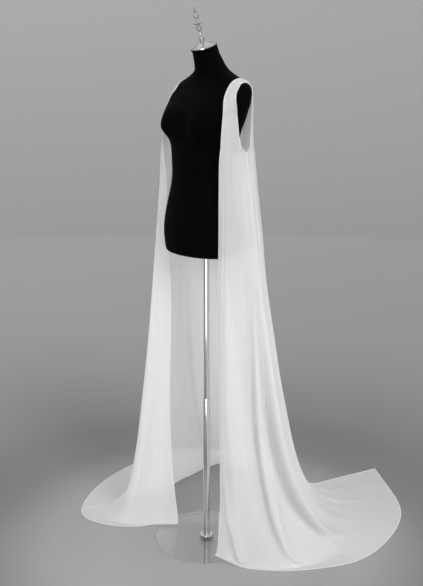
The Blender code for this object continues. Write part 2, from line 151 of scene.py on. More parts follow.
def lengths_along(line: Array) -> Array:
    """Length from a line's start to each of its points."""
    return np.concatenate([[0.0], np.cumsum(np.linalg.norm(np.diff(line, axis=0), axis=1))])


def round_turns(sides: int) -> Array:
    """Angles of the points round a ring."""
    return np.arange(sides) * 2 * math.pi / sides


# Shader building

class Tone:
    """A shader socket that takes part in Python sums: each operator adds a Math node."""

    def __init__(self, maker: Maker, socket: bpy.types.NodeSocket) -> None:
        """Wrap one output socket of the maker's tree."""
        self.maker = maker
        self.socket = socket

    def _math(self, operation: str, *terms: Any) -> Tone:
        """Add one Math node."""
        return self.maker.node("ShaderNodeMath", {"operation": operation}, dict(enumerate(terms)))

    def __add__(self, other: Any) -> Tone:
        """Sum."""
        return self._math("ADD", self, other)

    __radd__ = __add__

    def __sub__(self, other: Any) -> Tone:
        """Difference."""
        return self._math("SUBTRACT", self, other)

    def __rsub__(self, other: Any) -> Tone:
        """Difference, number first."""
        return self._math("SUBTRACT", other, self)

    def __mul__(self, other: Any) -> Tone:
        """Product."""
        return self._math("MULTIPLY", self, other)

    __rmul__ = __mul__

    def sine(self) -> Tone:
        """Sine of an angle in radians."""
        return self._math("SINE", self)

    def at_most(self, high: float) -> Tone:
        """The smaller of this and high."""
        return self._math("MINIMUM", self, high)


class Maker:
    """Makes the nodes of one material."""

    # The Mix node's numbered sockets for colours
    MIX_LOW = 6
    MIX_HIGH = 7
    MIX_OUT = 2

    def __init__(self, name: str) -> None:
        """Start an empty material."""
        self.material = bpy.data.materials.new(name)
        self.material.use_nodes = True
        self.tree = self.material.node_tree
        self.tree.nodes.clear()

    def node(self, kind: str, settings: dict[str, Any] | None = None,
             values: dict[Any, Any] | None = None, out: int | str = 0) -> Tone:
        """Add one node.

        Args:
            kind: the node's type.
            settings: its properties, set first; "stops" gives a ramp's stops as (place, colour).
            values: numbers, colours or Tones for its sockets, by name or number.
            out: the output socket that is returned.

        Returns:
            That output, as a Tone.
        """
        made = self.tree.nodes.new(kind)
        for name, value in (settings or {}).items():
            if name == "stops":
                self._set_stops(made.color_ramp, value)
            else:
                setattr(made, name, value)
        for name, value in (values or {}).items():
            if isinstance(value, Tone):
                self.tree.links.new(value.socket, made.inputs[name])
            else:
                made.inputs[name].default_value = value
        return Tone(self, made.outputs[out])

    @staticmethod
    def _set_stops(ramp: bpy.types.ColorRamp, stops: Sequence[tuple[float, Sequence[float]]]) -> None:
        """Give a ramp its stops."""
        while len(ramp.elements) < len(stops):
            ramp.elements.new(1.0)
        for element, (place, colour) in zip(ramp.elements, stops):
            element.position = place
            element.color = (*colour, 1.0)

    def blend(self, share: Any, low: Any, high: Any) -> Tone:
        """A colour between two, each three numbers or a Tone, by a share from 0 to 1."""
        low, high = (end if isinstance(end, Tone) else (*end, 1.0) for end in (low, high))
        values = {"Factor": share, self.MIX_LOW: low, self.MIX_HIGH: high}
        return self.node("ShaderNodeMix", {"data_type": "RGBA"}, values, out=self.MIX_OUT)

    def place(self, layout: Layout = Layout.PIECE) -> Tone:
        """Where a point lies on the piece, or on the cloth's flat cut."""
        if layout is Layout.CUT:
            return self.node("ShaderNodeUVMap", {"uv_map": CUT_MAP})
        return self.node("ShaderNodeTexCoord", out="Object")

    def axis(self, place: Tone, letter: str) -> Tone:
        """One coordinate of a place."""
        return self.node("ShaderNodeSeparateXYZ", None, {"Vector": place}, out=letter)

    def noise(self, scale: float, detail: float = 2.0, stretch: Triple = EVEN,
              layout: Layout = Layout.PIECE) -> Tone:
        """Uneven values about 0.5."""
        values = {"Vector": self.place(layout), "Scale": stretch}
        place = self.node("ShaderNodeMapping", None, values)
        return self.node("ShaderNodeTexNoise", None,
                         {"Vector": place, "Scale": scale, "Detail": detail})

    def bump(self, height: Tone, depth: float) -> Tone:
        """A normal roughened by a height."""
        values = {"Height": height, "Distance": depth, "Strength": 1.0}
        return self.node("ShaderNodeBump", None, values)

    def mix(self, share: Any, first: Tone, second: Tone) -> Tone:
        """A mix of two shaders."""
        return self.node("ShaderNodeMixShader", None, {0: share, 1: first, 2: second})

    def finish(self, shader: Tone) -> bpy.types.Material:
        """Send a shader to the output and return the material."""
        output = self.tree.nodes.new("ShaderNodeOutputMaterial")
        self.tree.links.new(shader.socket, output.inputs["Surface"])
        return self.material


# Finishes

@dataclass(frozen=True)
class Chiffon:
    """Sheer white chiffon: crossing threads, uneven cover, light through it, a faint sheen, and shade
    painted into its folds.
    """

    name: str
    cover: float
    thinning: float = 0.30
    thin_from: float = 1.3
    unevenness: float = 0.05
    thread_pitch: float = 0.00045
    thread_depth: float = 0.00004
    thread_cover: float = 0.02
    streaks: Triple = (90.0, 5.0, 1.0)
    roughness: float = 0.82
    sheen: float = 0.12
    glow: float = 0.38
    # Colour of the cloth where the shade painted into its folds is full
    painted_shade_tone: float = 0.42
    low: Triple = (0.90, 0.90, 0.90)
    high: Triple = (0.96, 0.96, 0.96)

    def build(self) -> bpy.types.Material:
        """Make the material."""
        maker = Maker(self.name)
        cut = maker.place(Layout.CUT)
        warp = maker.axis(cut, "X")
        weft = maker.axis(cut, "Y")
        turns = 2 * math.pi / self.thread_pitch
        weave = (warp * turns).sine() * (weft * turns).sine()
        streaks = maker.noise(1.0, 3.0, self.streaks, Layout.CUT)
        clouds = maker.noise(9.0, layout=Layout.CUT)
        cover = (self.cover - self.unevenness) + streaks * self.unevenness + clouds * self.unevenness
        thinner = ((self.thin_from - weft) * self.thinning).at_most(0.0)
        cover = (cover + thinner + weave * self.thread_cover).at_most(1.0)
        colour = maker.blend(clouds * 0.6 + streaks * 0.4, self.low, self.high)
        # Painted shade: the fold_shade attribute darkens the colour in fold hollows and beside floor
        # creases, and lets less light through there
        painted_shade = maker.node("ShaderNodeAttribute", {"attribute_name": FOLD_SHADE}, out="Fac")
        colour = maker.blend(painted_shade, colour, (self.painted_shade_tone,) * 3)
        normal = maker.bump(weave, self.thread_depth)
        face = maker.node("ShaderNodeBsdfPrincipled", None,
                          {"Base Color": colour, "Roughness": self.roughness,
                           "Specular IOR Level": 0.25, "Sheen Weight": self.sheen,
                           "Sheen Roughness": 0.4, "Normal": normal})
        through = maker.node("ShaderNodeBsdfTranslucent", None, {"Color": (*self.high, 1.0)})
        cloth = maker.mix((1.0 - painted_shade) * self.glow, face, through)
        clear = maker.node("ShaderNodeBsdfTransparent", None, {"Color": CLEAR})
        return maker.finish(maker.mix(cover, clear, cloth))


@dataclass(frozen=True)
class Jersey:
    """Black stretch jersey pulled tight: fine ribs of loops, a little lint and a soft sheen."""

    name: str = "black_jersey"
    loop_pitch: float = 0.0011
    loop_depth: float = 0.00012
    low: Triple = (0.0005, 0.0005, 0.0006)
    high: Triple = (0.0024, 0.0024, 0.0026)
    sheen: float = 0.003

    def build(self) -> bpy.types.Material:
        """Make the material."""
        maker = Maker(self.name)
        place = maker.place()
        turns = 2 * math.pi / self.loop_pitch
        across = maker.axis(place, "X")
        up = maker.axis(place, "Z")
        loops = (across * turns).sine() + (up * turns).sine() * 0.5
        lint = maker.noise(60.0, 6.0)
        pull = maker.noise(7.0, stretch=(1.0, 1.0, 0.4))
        colour = maker.blend(lint * 0.5 + pull * 0.5, self.low, self.high)
        face = maker.node("ShaderNodeBsdfPrincipled", None,
                          {"Base Color": colour, "Roughness": 0.55 + pull * 0.2,
                           "Specular IOR Level": 0.02, "Sheen Weight": self.sheen,
                           "Normal": maker.bump(loops, self.loop_depth)})
        return maker.finish(face)


@dataclass(frozen=True)
class Chrome:
    """Polished chrome with a faint uneven polish."""

    name: str = "polished_chrome"
    roughness: float = 0.07
    polish_depth: float = 0.00002
    low: Triple = (0.74, 0.74, 0.75)
    high: Triple = (0.84, 0.84, 0.85)

    def build(self) -> bpy.types.Material:
        """Make the material."""
        maker = Maker(self.name)
        polish = maker.noise(35.0, 4.0, (1.0, 1.0, 0.15))
        smears = maker.noise(9.0, 3.0)
        face = maker.node("ShaderNodeBsdfPrincipled", None,
                          {"Base Color": maker.blend(smears, self.low, self.high),
                           "Metallic": 1.0, "Roughness": self.roughness + polish * 0.06,
                           "Normal": maker.bump(polish, self.polish_depth)})
        return maker.finish(face)


@dataclass(frozen=True)
class ClearGlass:
    """Clear glass: it mirrors a little and shows the floor through it."""

    name: str
    haze: float
    gloss: float = 0.6
    bending: float = 1.5
    tint: Triple = (0.998, 0.998, 0.998)

    def build(self) -> bpy.types.Material:
        """Make the material."""
        maker = Maker(self.name)
        wipe = maker.noise(6.0, 3.0)
        mirror = maker.node("ShaderNodeBsdfGlossy", None,
                            {"Color": CLEAR, "Roughness": 0.02 + wipe * 0.03})
        rim = maker.node("ShaderNodeFresnel", None, {"IOR": self.bending})
        clear = maker.node("ShaderNodeBsdfTransparent", None, {"Color": (*self.tint, 1.0)})
        share = (rim * self.gloss + wipe * 0.01 + self.haze).at_most(1.0)
        return maker.finish(maker.mix(share, clear, mirror))


@dataclass(frozen=True)
class StudioPaper:
    """Seamless pale paper with light painted on it: a painted pool of light round the set, a band of
    painted shade beyond it, and painted light that grows paler far away.
    """

    name: str = "studio_paper"
    reach: float = 16.0
    # Painted light by distance from the pole: the pool of light, the band of shade and the paler far
    # paper
    stops: tuple[Pair, ...] = (
        (0.0, 0.40), (0.30, 0.345), (0.58, 0.32), (0.84, 0.19), (1.08, 0.178), (1.3, 0.207),
        (1.94, 0.254), (2.6, 0.277), (4.2, 0.29), (8.0, 0.322), (12.0, 0.352), (16.0, 0.38))
    grain_depth: float = 0.00005

    def build(self) -> bpy.types.Material:
        """Make the material."""
        maker = Maker(self.name)
        away = maker.node("ShaderNodeVectorMath", {"operation": "LENGTH"}, {0: maker.place()},
                          out="Value")
        stops = [(distance / self.reach, (tone,) * 3) for distance, tone in self.stops]
        colour = maker.node("ShaderNodeValToRGB", {"stops": stops},
                            {"Fac": away * (1.0 / self.reach)})
        face = maker.node("ShaderNodeBsdfPrincipled", None,
                          {"Base Color": colour, "Roughness": 0.75, "Specular IOR Level": 0.2,
                           "Normal": maker.bump(maker.noise(900.0), self.grain_depth)})
        return maker.finish(face)


# Mesh helpers

def add_piece(name: str, mesh: bpy.types.Mesh, finish: bpy.types.Material,
              replaces: Sequence[str] = ()) -> bpy.types.Object:
    """Put a finished mesh in the scene as a piece of the part.

    Args:
        name: the piece's name.
        mesh: its mesh, in the part's frame.
        finish: its material.
        replaces: the nodes that it stands for.

    Returns:
        The new object.
    """
    piece = bpy.data.objects.new(name, mesh)
    piece.data.materials.append(finish)
    bpy.context.scene.collection.objects.link(piece)
    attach(piece, BODY)
    if replaces:
        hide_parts(*replaces)
    LOG.info("%s: %d faces", name, len(mesh.polygons))
    return piece


def mesh_of(name: str, points: Array, faces: Array | Sequence[Sequence[int]]) -> bpy.types.Mesh:
    """A smooth mesh from points and faces."""
    mesh = bpy.data.meshes.new(name)
    listed = faces.tolist() if isinstance(faces, np.ndarray) else faces
    mesh.from_pydata(points.tolist(), [], listed)
    mesh.shade_smooth()
    return mesh


def grid_faces(rows: int, columns: int, closed: bool = False) -> Array:
    """Quads between rows of points; closed joins each row's end to its start."""
    across = columns if closed else columns - 1
    low, at = np.meshgrid(np.arange(rows - 1) * columns, np.arange(across), indexing="ij")
    after = (at + 1) % columns
    high = low + columns
    corners = (low + at, low + after, high + after, high + at)
    return np.stack([corner.ravel() for corner in corners], axis=1)


def skin_of(name: str, loops: Sequence[Array]) -> bpy.types.Mesh:
    """Close a stack of equal loops of points, bottom to top, into one skin."""
    sides = len(loops[0])
    faces = grid_faces(len(loops), sides, closed=True).tolist()
    faces.append(list(reversed(range(sides))))
    faces.append([(len(loops) - 1) * sides + k for k in range(sides)])
    mesh = mesh_of(name, np.concatenate(loops), faces)
    mesh.set_sharp_from_angle(angle=math.radians(40.0))
    return mesh


def turned(name: str, profile: Sequence[Pair], steps: int, weld: float = 0.000001,
           sharp: float = math.radians(32.0)) -> bpy.types.Mesh:
    """Spin a half profile about the Z axis.

    Args:
        name: the mesh's name.
        profile: radius and height pairs.
        steps: how many facets go round.
        weld: points nearer than this are joined.
        sharp: edges that turn more than this stay sharp.

    Returns:
        The turned mesh.
    """
    work = bmesh.new()
    verts = [work.verts.new((radius, 0.0, height)) for radius, height in profile]
    edges = [work.edges.new(pair) for pair in zip(verts, verts[1:])]
    bmesh.ops.spin(work, geom=verts + edges, axis=(0, 0, 1), cent=(0, 0, 0), dvec=(0, 0, 0),
                   angle=2 * math.pi, steps=steps, use_merge=True)
    bmesh.ops.remove_doubles(work, verts=work.verts, dist=weld)
    bmesh.ops.dissolve_degenerate(work, edges=work.edges, dist=weld)
    bmesh.ops.recalc_face_normals(work, faces=work.faces)
    mesh = bpy.data.meshes.new(name)
    work.to_mesh(mesh)
    work.free()
    mesh.shade_smooth()
    mesh.set_sharp_from_angle(angle=sharp)
    return mesh


def rounded(profile: Sequence[Pair], finer: int) -> list[Pair]:
    """A smooth curve through a profile's points, with finer steps between them."""
    points = np.array(profile)
    along = lengths_along(points)
    marks = np.arange((len(points) - 1) * finer + 1) / finer
    curve = smooth(along, points, np.interp(marks, np.arange(len(points)), along))
    curve[:, 0] = np.maximum(curve[:, 0], 0.0)
    return [tuple(point) for point in curve.tolist()]


def strip_mesh(name: str, paths: Sequence[tuple[Array, Array]], half_width: float,
               half_thick: float, sides: int = 8) -> bpy.types.Mesh:
    """Flattened round strips that follow paths, such as rolled hems.

    Args:
        name: the mesh's name.
        paths: for each strip, its centre line and the cloth's normals along it.
        half_width: half its width in the cloth.
        half_thick: half its thickness.
        sides: points round the strip.

    Returns:
        One mesh that holds every strip, with its cut map along each strip.
    """
    points: list[Array] = []
    faces: list[list[int]] = []
    count = 0
    turns = round_turns(sides)
    for line, normals in paths:
        along = unit(np.gradient(line, axis=0))
        wide = unit(np.cross(along, normals))
        high = np.cross(wide, along)
        ring = (line[:, None] + wide[:, None] * (np.cos(turns) * half_width)[None, :, None]
                + high[:, None] * (np.sin(turns) * half_thick)[None, :, None])
        rows = len(line)
        points.append(ring.reshape(-1, 3))
        faces += (grid_faces(rows, sides, closed=True) + count).tolist()
        faces.append([count + k for k in range(sides)])
        faces.append([count + (rows - 1) * sides + k for k in reversed(range(sides))])
        count += rows * sides
    mesh = mesh_of(name, np.concatenate(points), faces)
    lengths = np.concatenate([np.repeat(lengths_along(line), sides) for line, _ in paths])
    rounds = np.tile(turns * half_width, len(lengths) // sides)
    set_cut_map(mesh, np.stack([rounds, lengths], axis=1))
    return mesh


def set_cut_map(mesh: bpy.types.Mesh, places: Array) -> None:
    """Give each point its place on the flat cut, in metres."""
    layer = mesh.uv_layers.new(name=CUT_MAP)
    at = np.zeros(len(mesh.loops), int)
    mesh.loops.foreach_get("vertex_index", at)
    layer.data.foreach_set("uv", places[at].astype(np.float32).ravel())


# Dress form

@dataclass(frozen=True)
class Ring:
    """One level of the form."""

    height: float
    half_width: float
    half_depth: float
    centre_back: float


def in_metres(*rows: tuple[float, ...]) -> tuple[tuple[float, ...], ...]:
    """Rows of millimetres as rows of metres."""
    return tuple(tuple(value * MM for value in row) for row in rows)


FORM_RINGS: tuple[Ring, ...] = tuple(Ring(*row) for row in in_metres(
    (1088, 150, 102, -18), (1100, 152, 104.5, -19), (1130, 154.5, 107, -20), (1167, 156, 108, -20),
    (1210, 150, 104, -20), (1260, 137, 97, -20), (1310, 121, 90, -20), (1358, 114, 87, -20),
    (1400, 118, 88.5, -18), (1440, 127, 92, -12), (1470, 135, 95, -6), (1505, 145, 98.5, -2),
    (1535, 159, 103, 0), (1560, 169, 103, 2), (1585, 176.5, 93, 12), (1605, 177.5, 84, 19),
    (1620, 175, 75, 26), (1632, 170, 69, 30), (1641, 162, 66, 32), (1649, 150, 63, 34),
    (1656, 134, 60, 34), (1664, 114, 56, 33), (1674, 92, 52, 31), (1685, 72, 49, 27),
    (1700, 60, 46.5, 19), (1720, 51, 45.5, 10), (1742, 44, 44, 0),
))

# Neck cap and finial: half profiles, top to bottom, as radius and height in millimetres
CAP_PROFILE = in_metres(
    (0, 20), (7, 19), (12.5, 16.2), (19.5, 12.8), (30, 8.8), (38.5, 5.6), (41.5, 3),
    (41.5, 0), (0, 0),
)
FINIAL_PROFILE = in_metres(
    (0, 120), (3, 118), (4.2, 114), (2.2, 110), (6, 108), (6.8, 105.5), (4, 102),
    (3.6, 97), (7.5, 93), (9, 88), (7, 83), (3.8, 79), (5, 74), (12, 71.5),
    (16.8, 68.5), (15, 65), (8, 62), (7, 58.5), (10.5, 55), (11, 51), (7.5, 46.5),
    (5, 40), (4.5, 32), (5.5, 24), (9.5, 20), (10.5, 16), (8, 11.5), (6, 8),
    (11, 5), (13.5, 2), (13.5, 0), (0, 0),
)


@dataclass(frozen=True)
class Bust:
    """One swell on each side of the front."""

    out: float = 0.086
    height: float = 1.506
    rise: float = 0.040
    spread: float = 0.050
    below: float = 0.036
    above: float = 0.050

    def swell(self, out: Array, height: Array) -> Array:
        """How far the bust stands forward of the plain ring."""
        spread = np.where(height < self.height, self.below, self.above)
        across = (np.abs(out) - self.out) / self.spread
        along = (height - self.height) / spread
        return self.rise * np.exp(-across**2 - along**2)


@dataclass(frozen=True)
class DressForm:
    """The limbless form, with the chrome cap and finial on its tilted neck."""

    bust: Bust = Bust()
    bust_blend: float = 0.02
    sides: int = 120
    level_step: float = 0.004
    neck_tilt: float = math.radians(18.0)
    neck_top: float = 1.7600
    neck_top_back: float = -0.010
    neck_half_width: float = 0.0415
    neck_half_depth: float = 0.0425
    neck_loops: int = 5
    finial_foot: float = 0.0100
    edge_round: float = 0.0030
    edge_loops: int = 5
    socket_depth: float = 0.080
    socket_radius: float = 0.0107
    lift_passes: int = 6
    lift_margin: float = 0.02
    nudge: float = 0.0005
    finer: int = 4
    cap_steps: int = 96
    finial_steps: int = 48

    def ring_at(self, height: Array) -> Array:
        """Half width, half depth and centre at each height."""
        rows = [[ring.half_width, ring.half_depth, ring.centre_back] for ring in FORM_RINGS]
        return smooth([ring.height for ring in FORM_RINGS], rows, height)

    def _depth(self, points: Array) -> Array:
        """Distance from the form's middle, 1 at its skin."""
        ring = self.ring_at(points[:, 2])
        back = points[:, 1] - ring[:, 2]
        swell = self.bust.swell(points[:, 0], points[:, 2])
        back = np.where(back < 0.0, np.minimum(back + swell, 0.0), back)
        return np.hypot(points[:, 0] / ring[:, 0], back / ring[:, 1])

    def lift(self, points: Array, clearance: Array) -> Array:
        """Move points that are too near the form out to their clearance."""
        points = points.copy()
        near = points[:, 2] > FORM_RINGS[0].height - self.lift_margin
        nudges = np.eye(3) * self.nudge
        for _ in range(self.lift_passes):
            here = points[near]
            changes = [self._depth(here + nudge) - self._depth(here - nudge) for nudge in nudges]
            slope = np.stack(changes, axis=1) / (2 * self.nudge)
            steep = np.maximum(np.linalg.norm(slope, axis=1), 1.0)
            short = np.maximum(clearance[near] - (self._depth(here) - 1.0) / steep, 0.0)
            points[near] += slope / steep[:, None] * short[:, None]
        return points

    def _level(self, out: Array, back: Array, height: float) -> Array:
        """Points of one level loop."""
        return np.stack([out, back, np.full(self.sides, height)], axis=1)

    def _loop(self, height: float, inset: float = 0.0) -> Array:
        """One level loop of the skin."""
        turns = round_turns(self.sides)
        half_width, half_depth, centre = self.ring_at(np.array([height]))[0]
        out = (half_width - inset) * np.cos(turns)
        back = (half_depth - inset) * np.sin(turns)
        swell = self.bust.swell(out, height) * ease(-back, 0.0, self.bust_blend)
        back -= np.where(back < 0.0, swell, 0.0)
        return self._level(out, back + centre, height)

    def _neck_top(self) -> Array:
        """The tilted loop under the cap."""
        turns = round_turns(self.sides)
        back = self.neck_half_depth * np.sin(turns)
        return np.stack([self.neck_half_width * np.cos(turns), self.neck_top_back + back,
                         self.neck_top + back * math.tan(self.neck_tilt)], axis=1)

    def body_mesh(self) -> bpy.types.Mesh:
        """The form's skin, with the pole's socket in its flat bottom."""
        low = FORM_RINGS[0].height
        high = FORM_RINGS[-1].height
        turns = round_turns(self.sides)
        socket = (self.socket_radius * np.cos(turns), self.socket_radius * np.sin(turns))
        loops = [self._level(*socket, low + self.socket_depth), self._level(*socket, low)]
        for turn in np.linspace(0.0, math.pi / 2, self.edge_loops):
            lifted = self.edge_round * (1.0 - math.cos(turn))
            inset = self.edge_round * (1.0 - math.sin(turn))
            loops.append(self._loop(low + lifted, inset))
        for height in np.arange(low + self.edge_round + self.level_step, high, self.level_step):
            loops.append(self._loop(float(height)))
        last = self._loop(high)
        top = self._neck_top()
        for share in np.linspace(0.0, 1.0, self.neck_loops):
            loops.append(last * (1.0 - share) + top * share)
        return skin_of("form_skin", loops)

    def build(self, jersey: bpy.types.Material, chrome: bpy.types.Material) -> None:
        """Make the form, the cap and the finial."""
        add_piece("jersey_form", self.body_mesh(), jersey, ["form_body"])
        lean = Matrix.Rotation(self.neck_tilt, 4, "X")
        up = lean @ Vector((0.0, 0.0, 1.0))
        seat = Vector((0.0, self.neck_top_back, self.neck_top)) + up * GAP
        dome = rounded(CAP_PROFILE[:-2], self.finer)
        cap = turned("turned_cap", [*dome, *CAP_PROFILE[-2:]], self.cap_steps)
        cap.transform(Matrix.Translation(seat) @ lean)
        add_piece("chrome_neck_cap", cap, chrome, ["neck_cap"])
        beads = rounded(FINIAL_PROFILE[:-1], self.finer)
        finial = turned("turned_finial", [*beads, FINIAL_PROFILE[-1]], self.finial_steps)
        finial.transform(Matrix.Translation(seat + up * (self.finial_foot + GAP)) @ lean)
        add_piece("chrome_finial", finial, chrome, ["neck_finial"])


# Stand

@dataclass(frozen=True)
class Stand:
    """The telescoping pole, its foot ring and the round glass base."""

    plate_radius: float = 0.190
    plate_thick: float = 0.008
    plate_edge: float = 0.0015
    plate_steps: int = 192
    corner_points: int = 6
    ramp: Pair = (0.020, 0.080)
    flange_radius: float = 0.0255
    flange_thick: float = 0.004
    flange_edge: tuple[Pair, ...] = ((0.84, 0.0), (0.93, 0.0004), (0.985, 0.0013), (1.0, 0.0024))
    lower_radius: float = 0.0125
    lower_wall: float = 0.0018
    lower_top: float = 0.550
    overlap: float = 0.120
    lip: float = 0.0006
    steps: int = 96

    def ground(self, points: Array) -> Array:
        """Height of what the cloth rests on: the floor, or the glass base, with a ramp off its edge."""
        reach = np.hypot(points[:, 0], points[:, 1]) - self.plate_radius
        return (self.plate_thick + GAP) * (1.0 - ease(reach, *self.ramp))

    def _corner(self, radius: float, height: float, start: float) -> list[Pair]:
        """A rounded edge of the plate, as a quarter turn from a start angle."""
        centre = self.plate_radius - self.plate_edge
        return [(centre + radius * math.cos(start + turn), height + radius * math.sin(start + turn))
                for turn in np.linspace(0.0, math.pi / 2, self.corner_points)]

    def build(self, chrome: bpy.types.Material, glass: bpy.types.Material, form: DressForm) -> None:
        """Make the base, the ring and both tubes."""
        edge = self.plate_edge
        plate = [(0.0, 0.0), *self._corner(edge, edge, -math.pi / 2),
                 *self._corner(edge, self.plate_thick - edge, 0.0), (0.0, self.plate_thick)]
        foot = self.plate_thick + GAP
        outer = self.lower_radius
        bore = outer - self.lower_wall
        top = self.lower_top
        bottom = top - self.overlap
        lip = self.lip
        tube = [(0.0, foot), (outer, foot), (outer, top - 2 * lip),
                (outer - 0.3 * lip, top - 0.6 * lip), (outer - lip, top), (bore + 0.4 * lip, top),
                (bore, top - 0.6 * lip), (bore, bottom), (0.0, bottom)]
        inner = outer + GAP
        high = foot + self.flange_thick
        edge = [(self.flange_radius * share, high - drop) for share, drop in self.flange_edge]
        ring = [(inner, high), *edge, (self.flange_radius, foot), (inner, foot), (inner, high)]
        radius = bore - GAP
        rod_top = FORM_RINGS[0].height + form.socket_depth - GAP
        rod = [(0.0, bottom + GAP), (radius, bottom + GAP), (radius, rod_top), (0.0, rod_top)]
        rounds = (
            ("glass_base", plate, self.plate_steps, glass, Slot.GLASS, "base_plate"),
            ("chrome_lower_tube", tube, self.steps, chrome, Slot.METAL, "lower_pole"),
            ("chrome_foot_ring", ring, self.steps, chrome, Slot.METAL, "base_flange"),
            ("chrome_upper_tube", rod, self.steps, chrome, Slot.METAL, "upper_pole"),
        )
        for name, profile, steps, finish, slot, node in rounds:
            add_piece(name, turned(f"turned_{node}", profile, steps), finish, [node])


# Cape

# Rails run down the cloth; places across count 0 at the front edge, 2 at the side seam and 5 at
# the centre-back edge
RAILS = ("front_edge", "front_swell", "front_seam", "back_seam", "side", "rear_swell", "rear_edge")
# Share of a strap's fall below its ridge that each rail takes
FALLS = (0.0, 1 / 2, 1.0, 1.0, 2 / 3, 1 / 3, 0.0)
SEAM = 2.0
CENTRE_BACK = 5.0


@dataclass(frozen=True)
class Strap:
    """One level of the shoulder strap and armhole, in millimetres; each edge is (out, back)."""

    height: float
    fall: float
    front_edge: Pair
    front_swell: Pair
    arm_front: Pair
    arm_back: Pair
    side: Pair
    rear_swell: Pair
    rear_edge: Pair

    def places(self) -> list[Triple]:
        """Where each rail passes this level."""
        edges = (self.front_edge, self.front_swell, self.arm_front, self.arm_back, self.side,
                 self.rear_swell, self.rear_edge)
        return [(*edge, self.height - self.fall * fall) for edge, fall in zip(edges, FALLS)]


@dataclass(frozen=True)
class Section:
    """One level of a wing below the armhole, in millimetres; each edge is (out, back)."""

    height: float
    front_edge: Pair
    front_swell: Pair
    seam: Pair
    side: Pair
    rear_swell: Pair
    rear_edge: Pair

    def places(self) -> list[Triple]:
        """Where each rail passes this level; both seam rails run together."""
        edges = (self.front_edge, self.front_swell, self.seam, self.seam, self.side,
                 self.rear_swell, self.rear_edge)
        return [(*edge, self.height) for edge in edges]


@dataclass(frozen=True)
class Fold:
    """A fold down the cloth: start, end and full depth in metres down, its place across at the
    top, low down and at the hem, how far it rises, and its width. A trough has a negative rise."""

    start: float
    end: float
    across_top: float
    across_low: float
    across_end: float
    rise: float
    width: float
    full: float = 1.45


@dataclass(frozen=True)
class Ridge:
    """A sharp fold along a line of places (across, metres down), with a hollow on its front side.
    Grow and fade are the shares of the line over which it rises and dies away."""

    line: tuple[Pair, ...]
    rise: float
    width: float
    # Depth of the real hollow, which also sets how strong the shade painted beside it is
    hollow: float
    grow: float = 0.6
    fade: float = 0.2


@dataclass(frozen=True)
class Crease:
    """A ridge in the cloth that lies on the floor, through three places (out, back) in metres."""

    first: Pair
    middle: Pair
    last: Pair
    # Height of the crease, which also sets how strong the shade painted beside it is
    rise: float
    width: float


STRAPS: tuple[Strap, ...] = (
    Strap(1662.5, 12, (125, 33), (138, 33), (150, 33), (150, 34.5), (143, 34.5), (134, 34.5),
          (125, 34.5)),
    Strap(1655, 8, (126, 12), (139, 14), (151, 18), (151, 48), (143, 53), (135, 56), (125, 58)),
    Strap(1638, 3, (127, -9), (141, -3), (154, 6), (154, 57), (146, 64), (136, 70), (125, 75)),
    Strap(1620, 0, (130, -25), (144, -19), (158, -8), (158, 57.5), (148, 67), (137, 74), (124, 79.5)),
    Strap(1600, 0, (136, -38), (150, -30), (163, -15.5), (164, 54), (151, 68), (134, 77), (113, 84)),
    Strap(1560, 0, (146, -51), (159, -39), (169.5, -17), (169, 49), (155, 66), (131, 79), (98, 88)),
    Strap(1520, 0, (150, -59), (164, -45), (174.5, -16), (174, 43), (158, 64), (127, 83), (84, 93)),
    Strap(1475, 0, (150, -63), (168, -50), (180, -13), (180, 34), (165, 60), (126, 86), (76, 96)),
    Strap(1445, 0, (149, -64), (170, -52), (184, -1), (184, 24), (170, 57), (126, 88), (73, 98)),
    Strap(1438, 0, (148, -64.5), (171, -53), (185, 11.5), (185, 11.5), (171, 57), (126, 89), (72, 99)),
)
LEFT_SECTIONS: tuple[Section, ...] = (
    Section(1300, (145, -67), (178, -55), (205, 15), (187, 60), (135, 100), (76, 112)),
    Section(1165, (147, -69), (184, -60), (219, 18), (199, 68), (145, 111), (85, 131)),
    Section(1030, (145, -69), (190, -64), (232, 20), (209, 74), (154, 121), (92, 150)),
    Section(780, (146, -66), (198, -70), (255, 26), (226, 98), (158, 160), (75, 205)),
    Section(560, (147, -63), (206, -69), (275, 32), (240, 130), (158, 203), (58, 262)),
    Section(290, (146, -58), (222, -54), (298, 46), (268, 180), (164, 278), (28, 355)),
    Section(130, (141, -60), (233, -43), (318, 62), (302, 230), (180, 360), (6, 452)),
    Section(40, (137, -62), (240, -36), (340, 80), (345, 276), (208, 440), (-14, 540)),
    Section(0, (134, -66), (246, -35), (364, 98), (395, 312), (250, 530), (-20, 640)),
    Section(0, (130, -72), (253, -40), (402, 120), (480, 360), (360, 690), (40, 920)),
)
RIGHT_SECTIONS: tuple[Section, ...] = (
    Section(1300, (142, -56), (181, -57), (212, 12), (195, 60), (152, 95), (102, 112)),
    Section(1165, (152, -57), (191, -63), (228, 13), (213, 70), (160, 112), (96, 138)),
    Section(1030, (149, -45), (201, -69), (244, 15), (235, 80), (170, 132), (92, 162)),
    Section(780, (146, -44), (215, -83), (273, 10), (272, 105), (200, 180), (100, 212)),
    Section(560, (144, -54), (229, -96), (299, 4), (305, 130), (230, 225), (120, 266)),
    Section(290, (136, -55), (254, -115), (342, -5), (350, 164), (290, 310), (155, 362)),
    Section(130, (132, -45), (275, -136), (378, -26), (386, 178), (342, 372), (193, 420)),
    Section(40, (130, -36), (290, -165), (412, -66), (393, 168), (390, 406), (222, 472)),
    Section(0, (130, -34), (298, -192), (440, -122), (408, 150), (436, 434), (242, 526)),
    Section(0, (130, -42), (300, -230), (475, -245), (645, 20), (655, 400), (300, 720)),
)
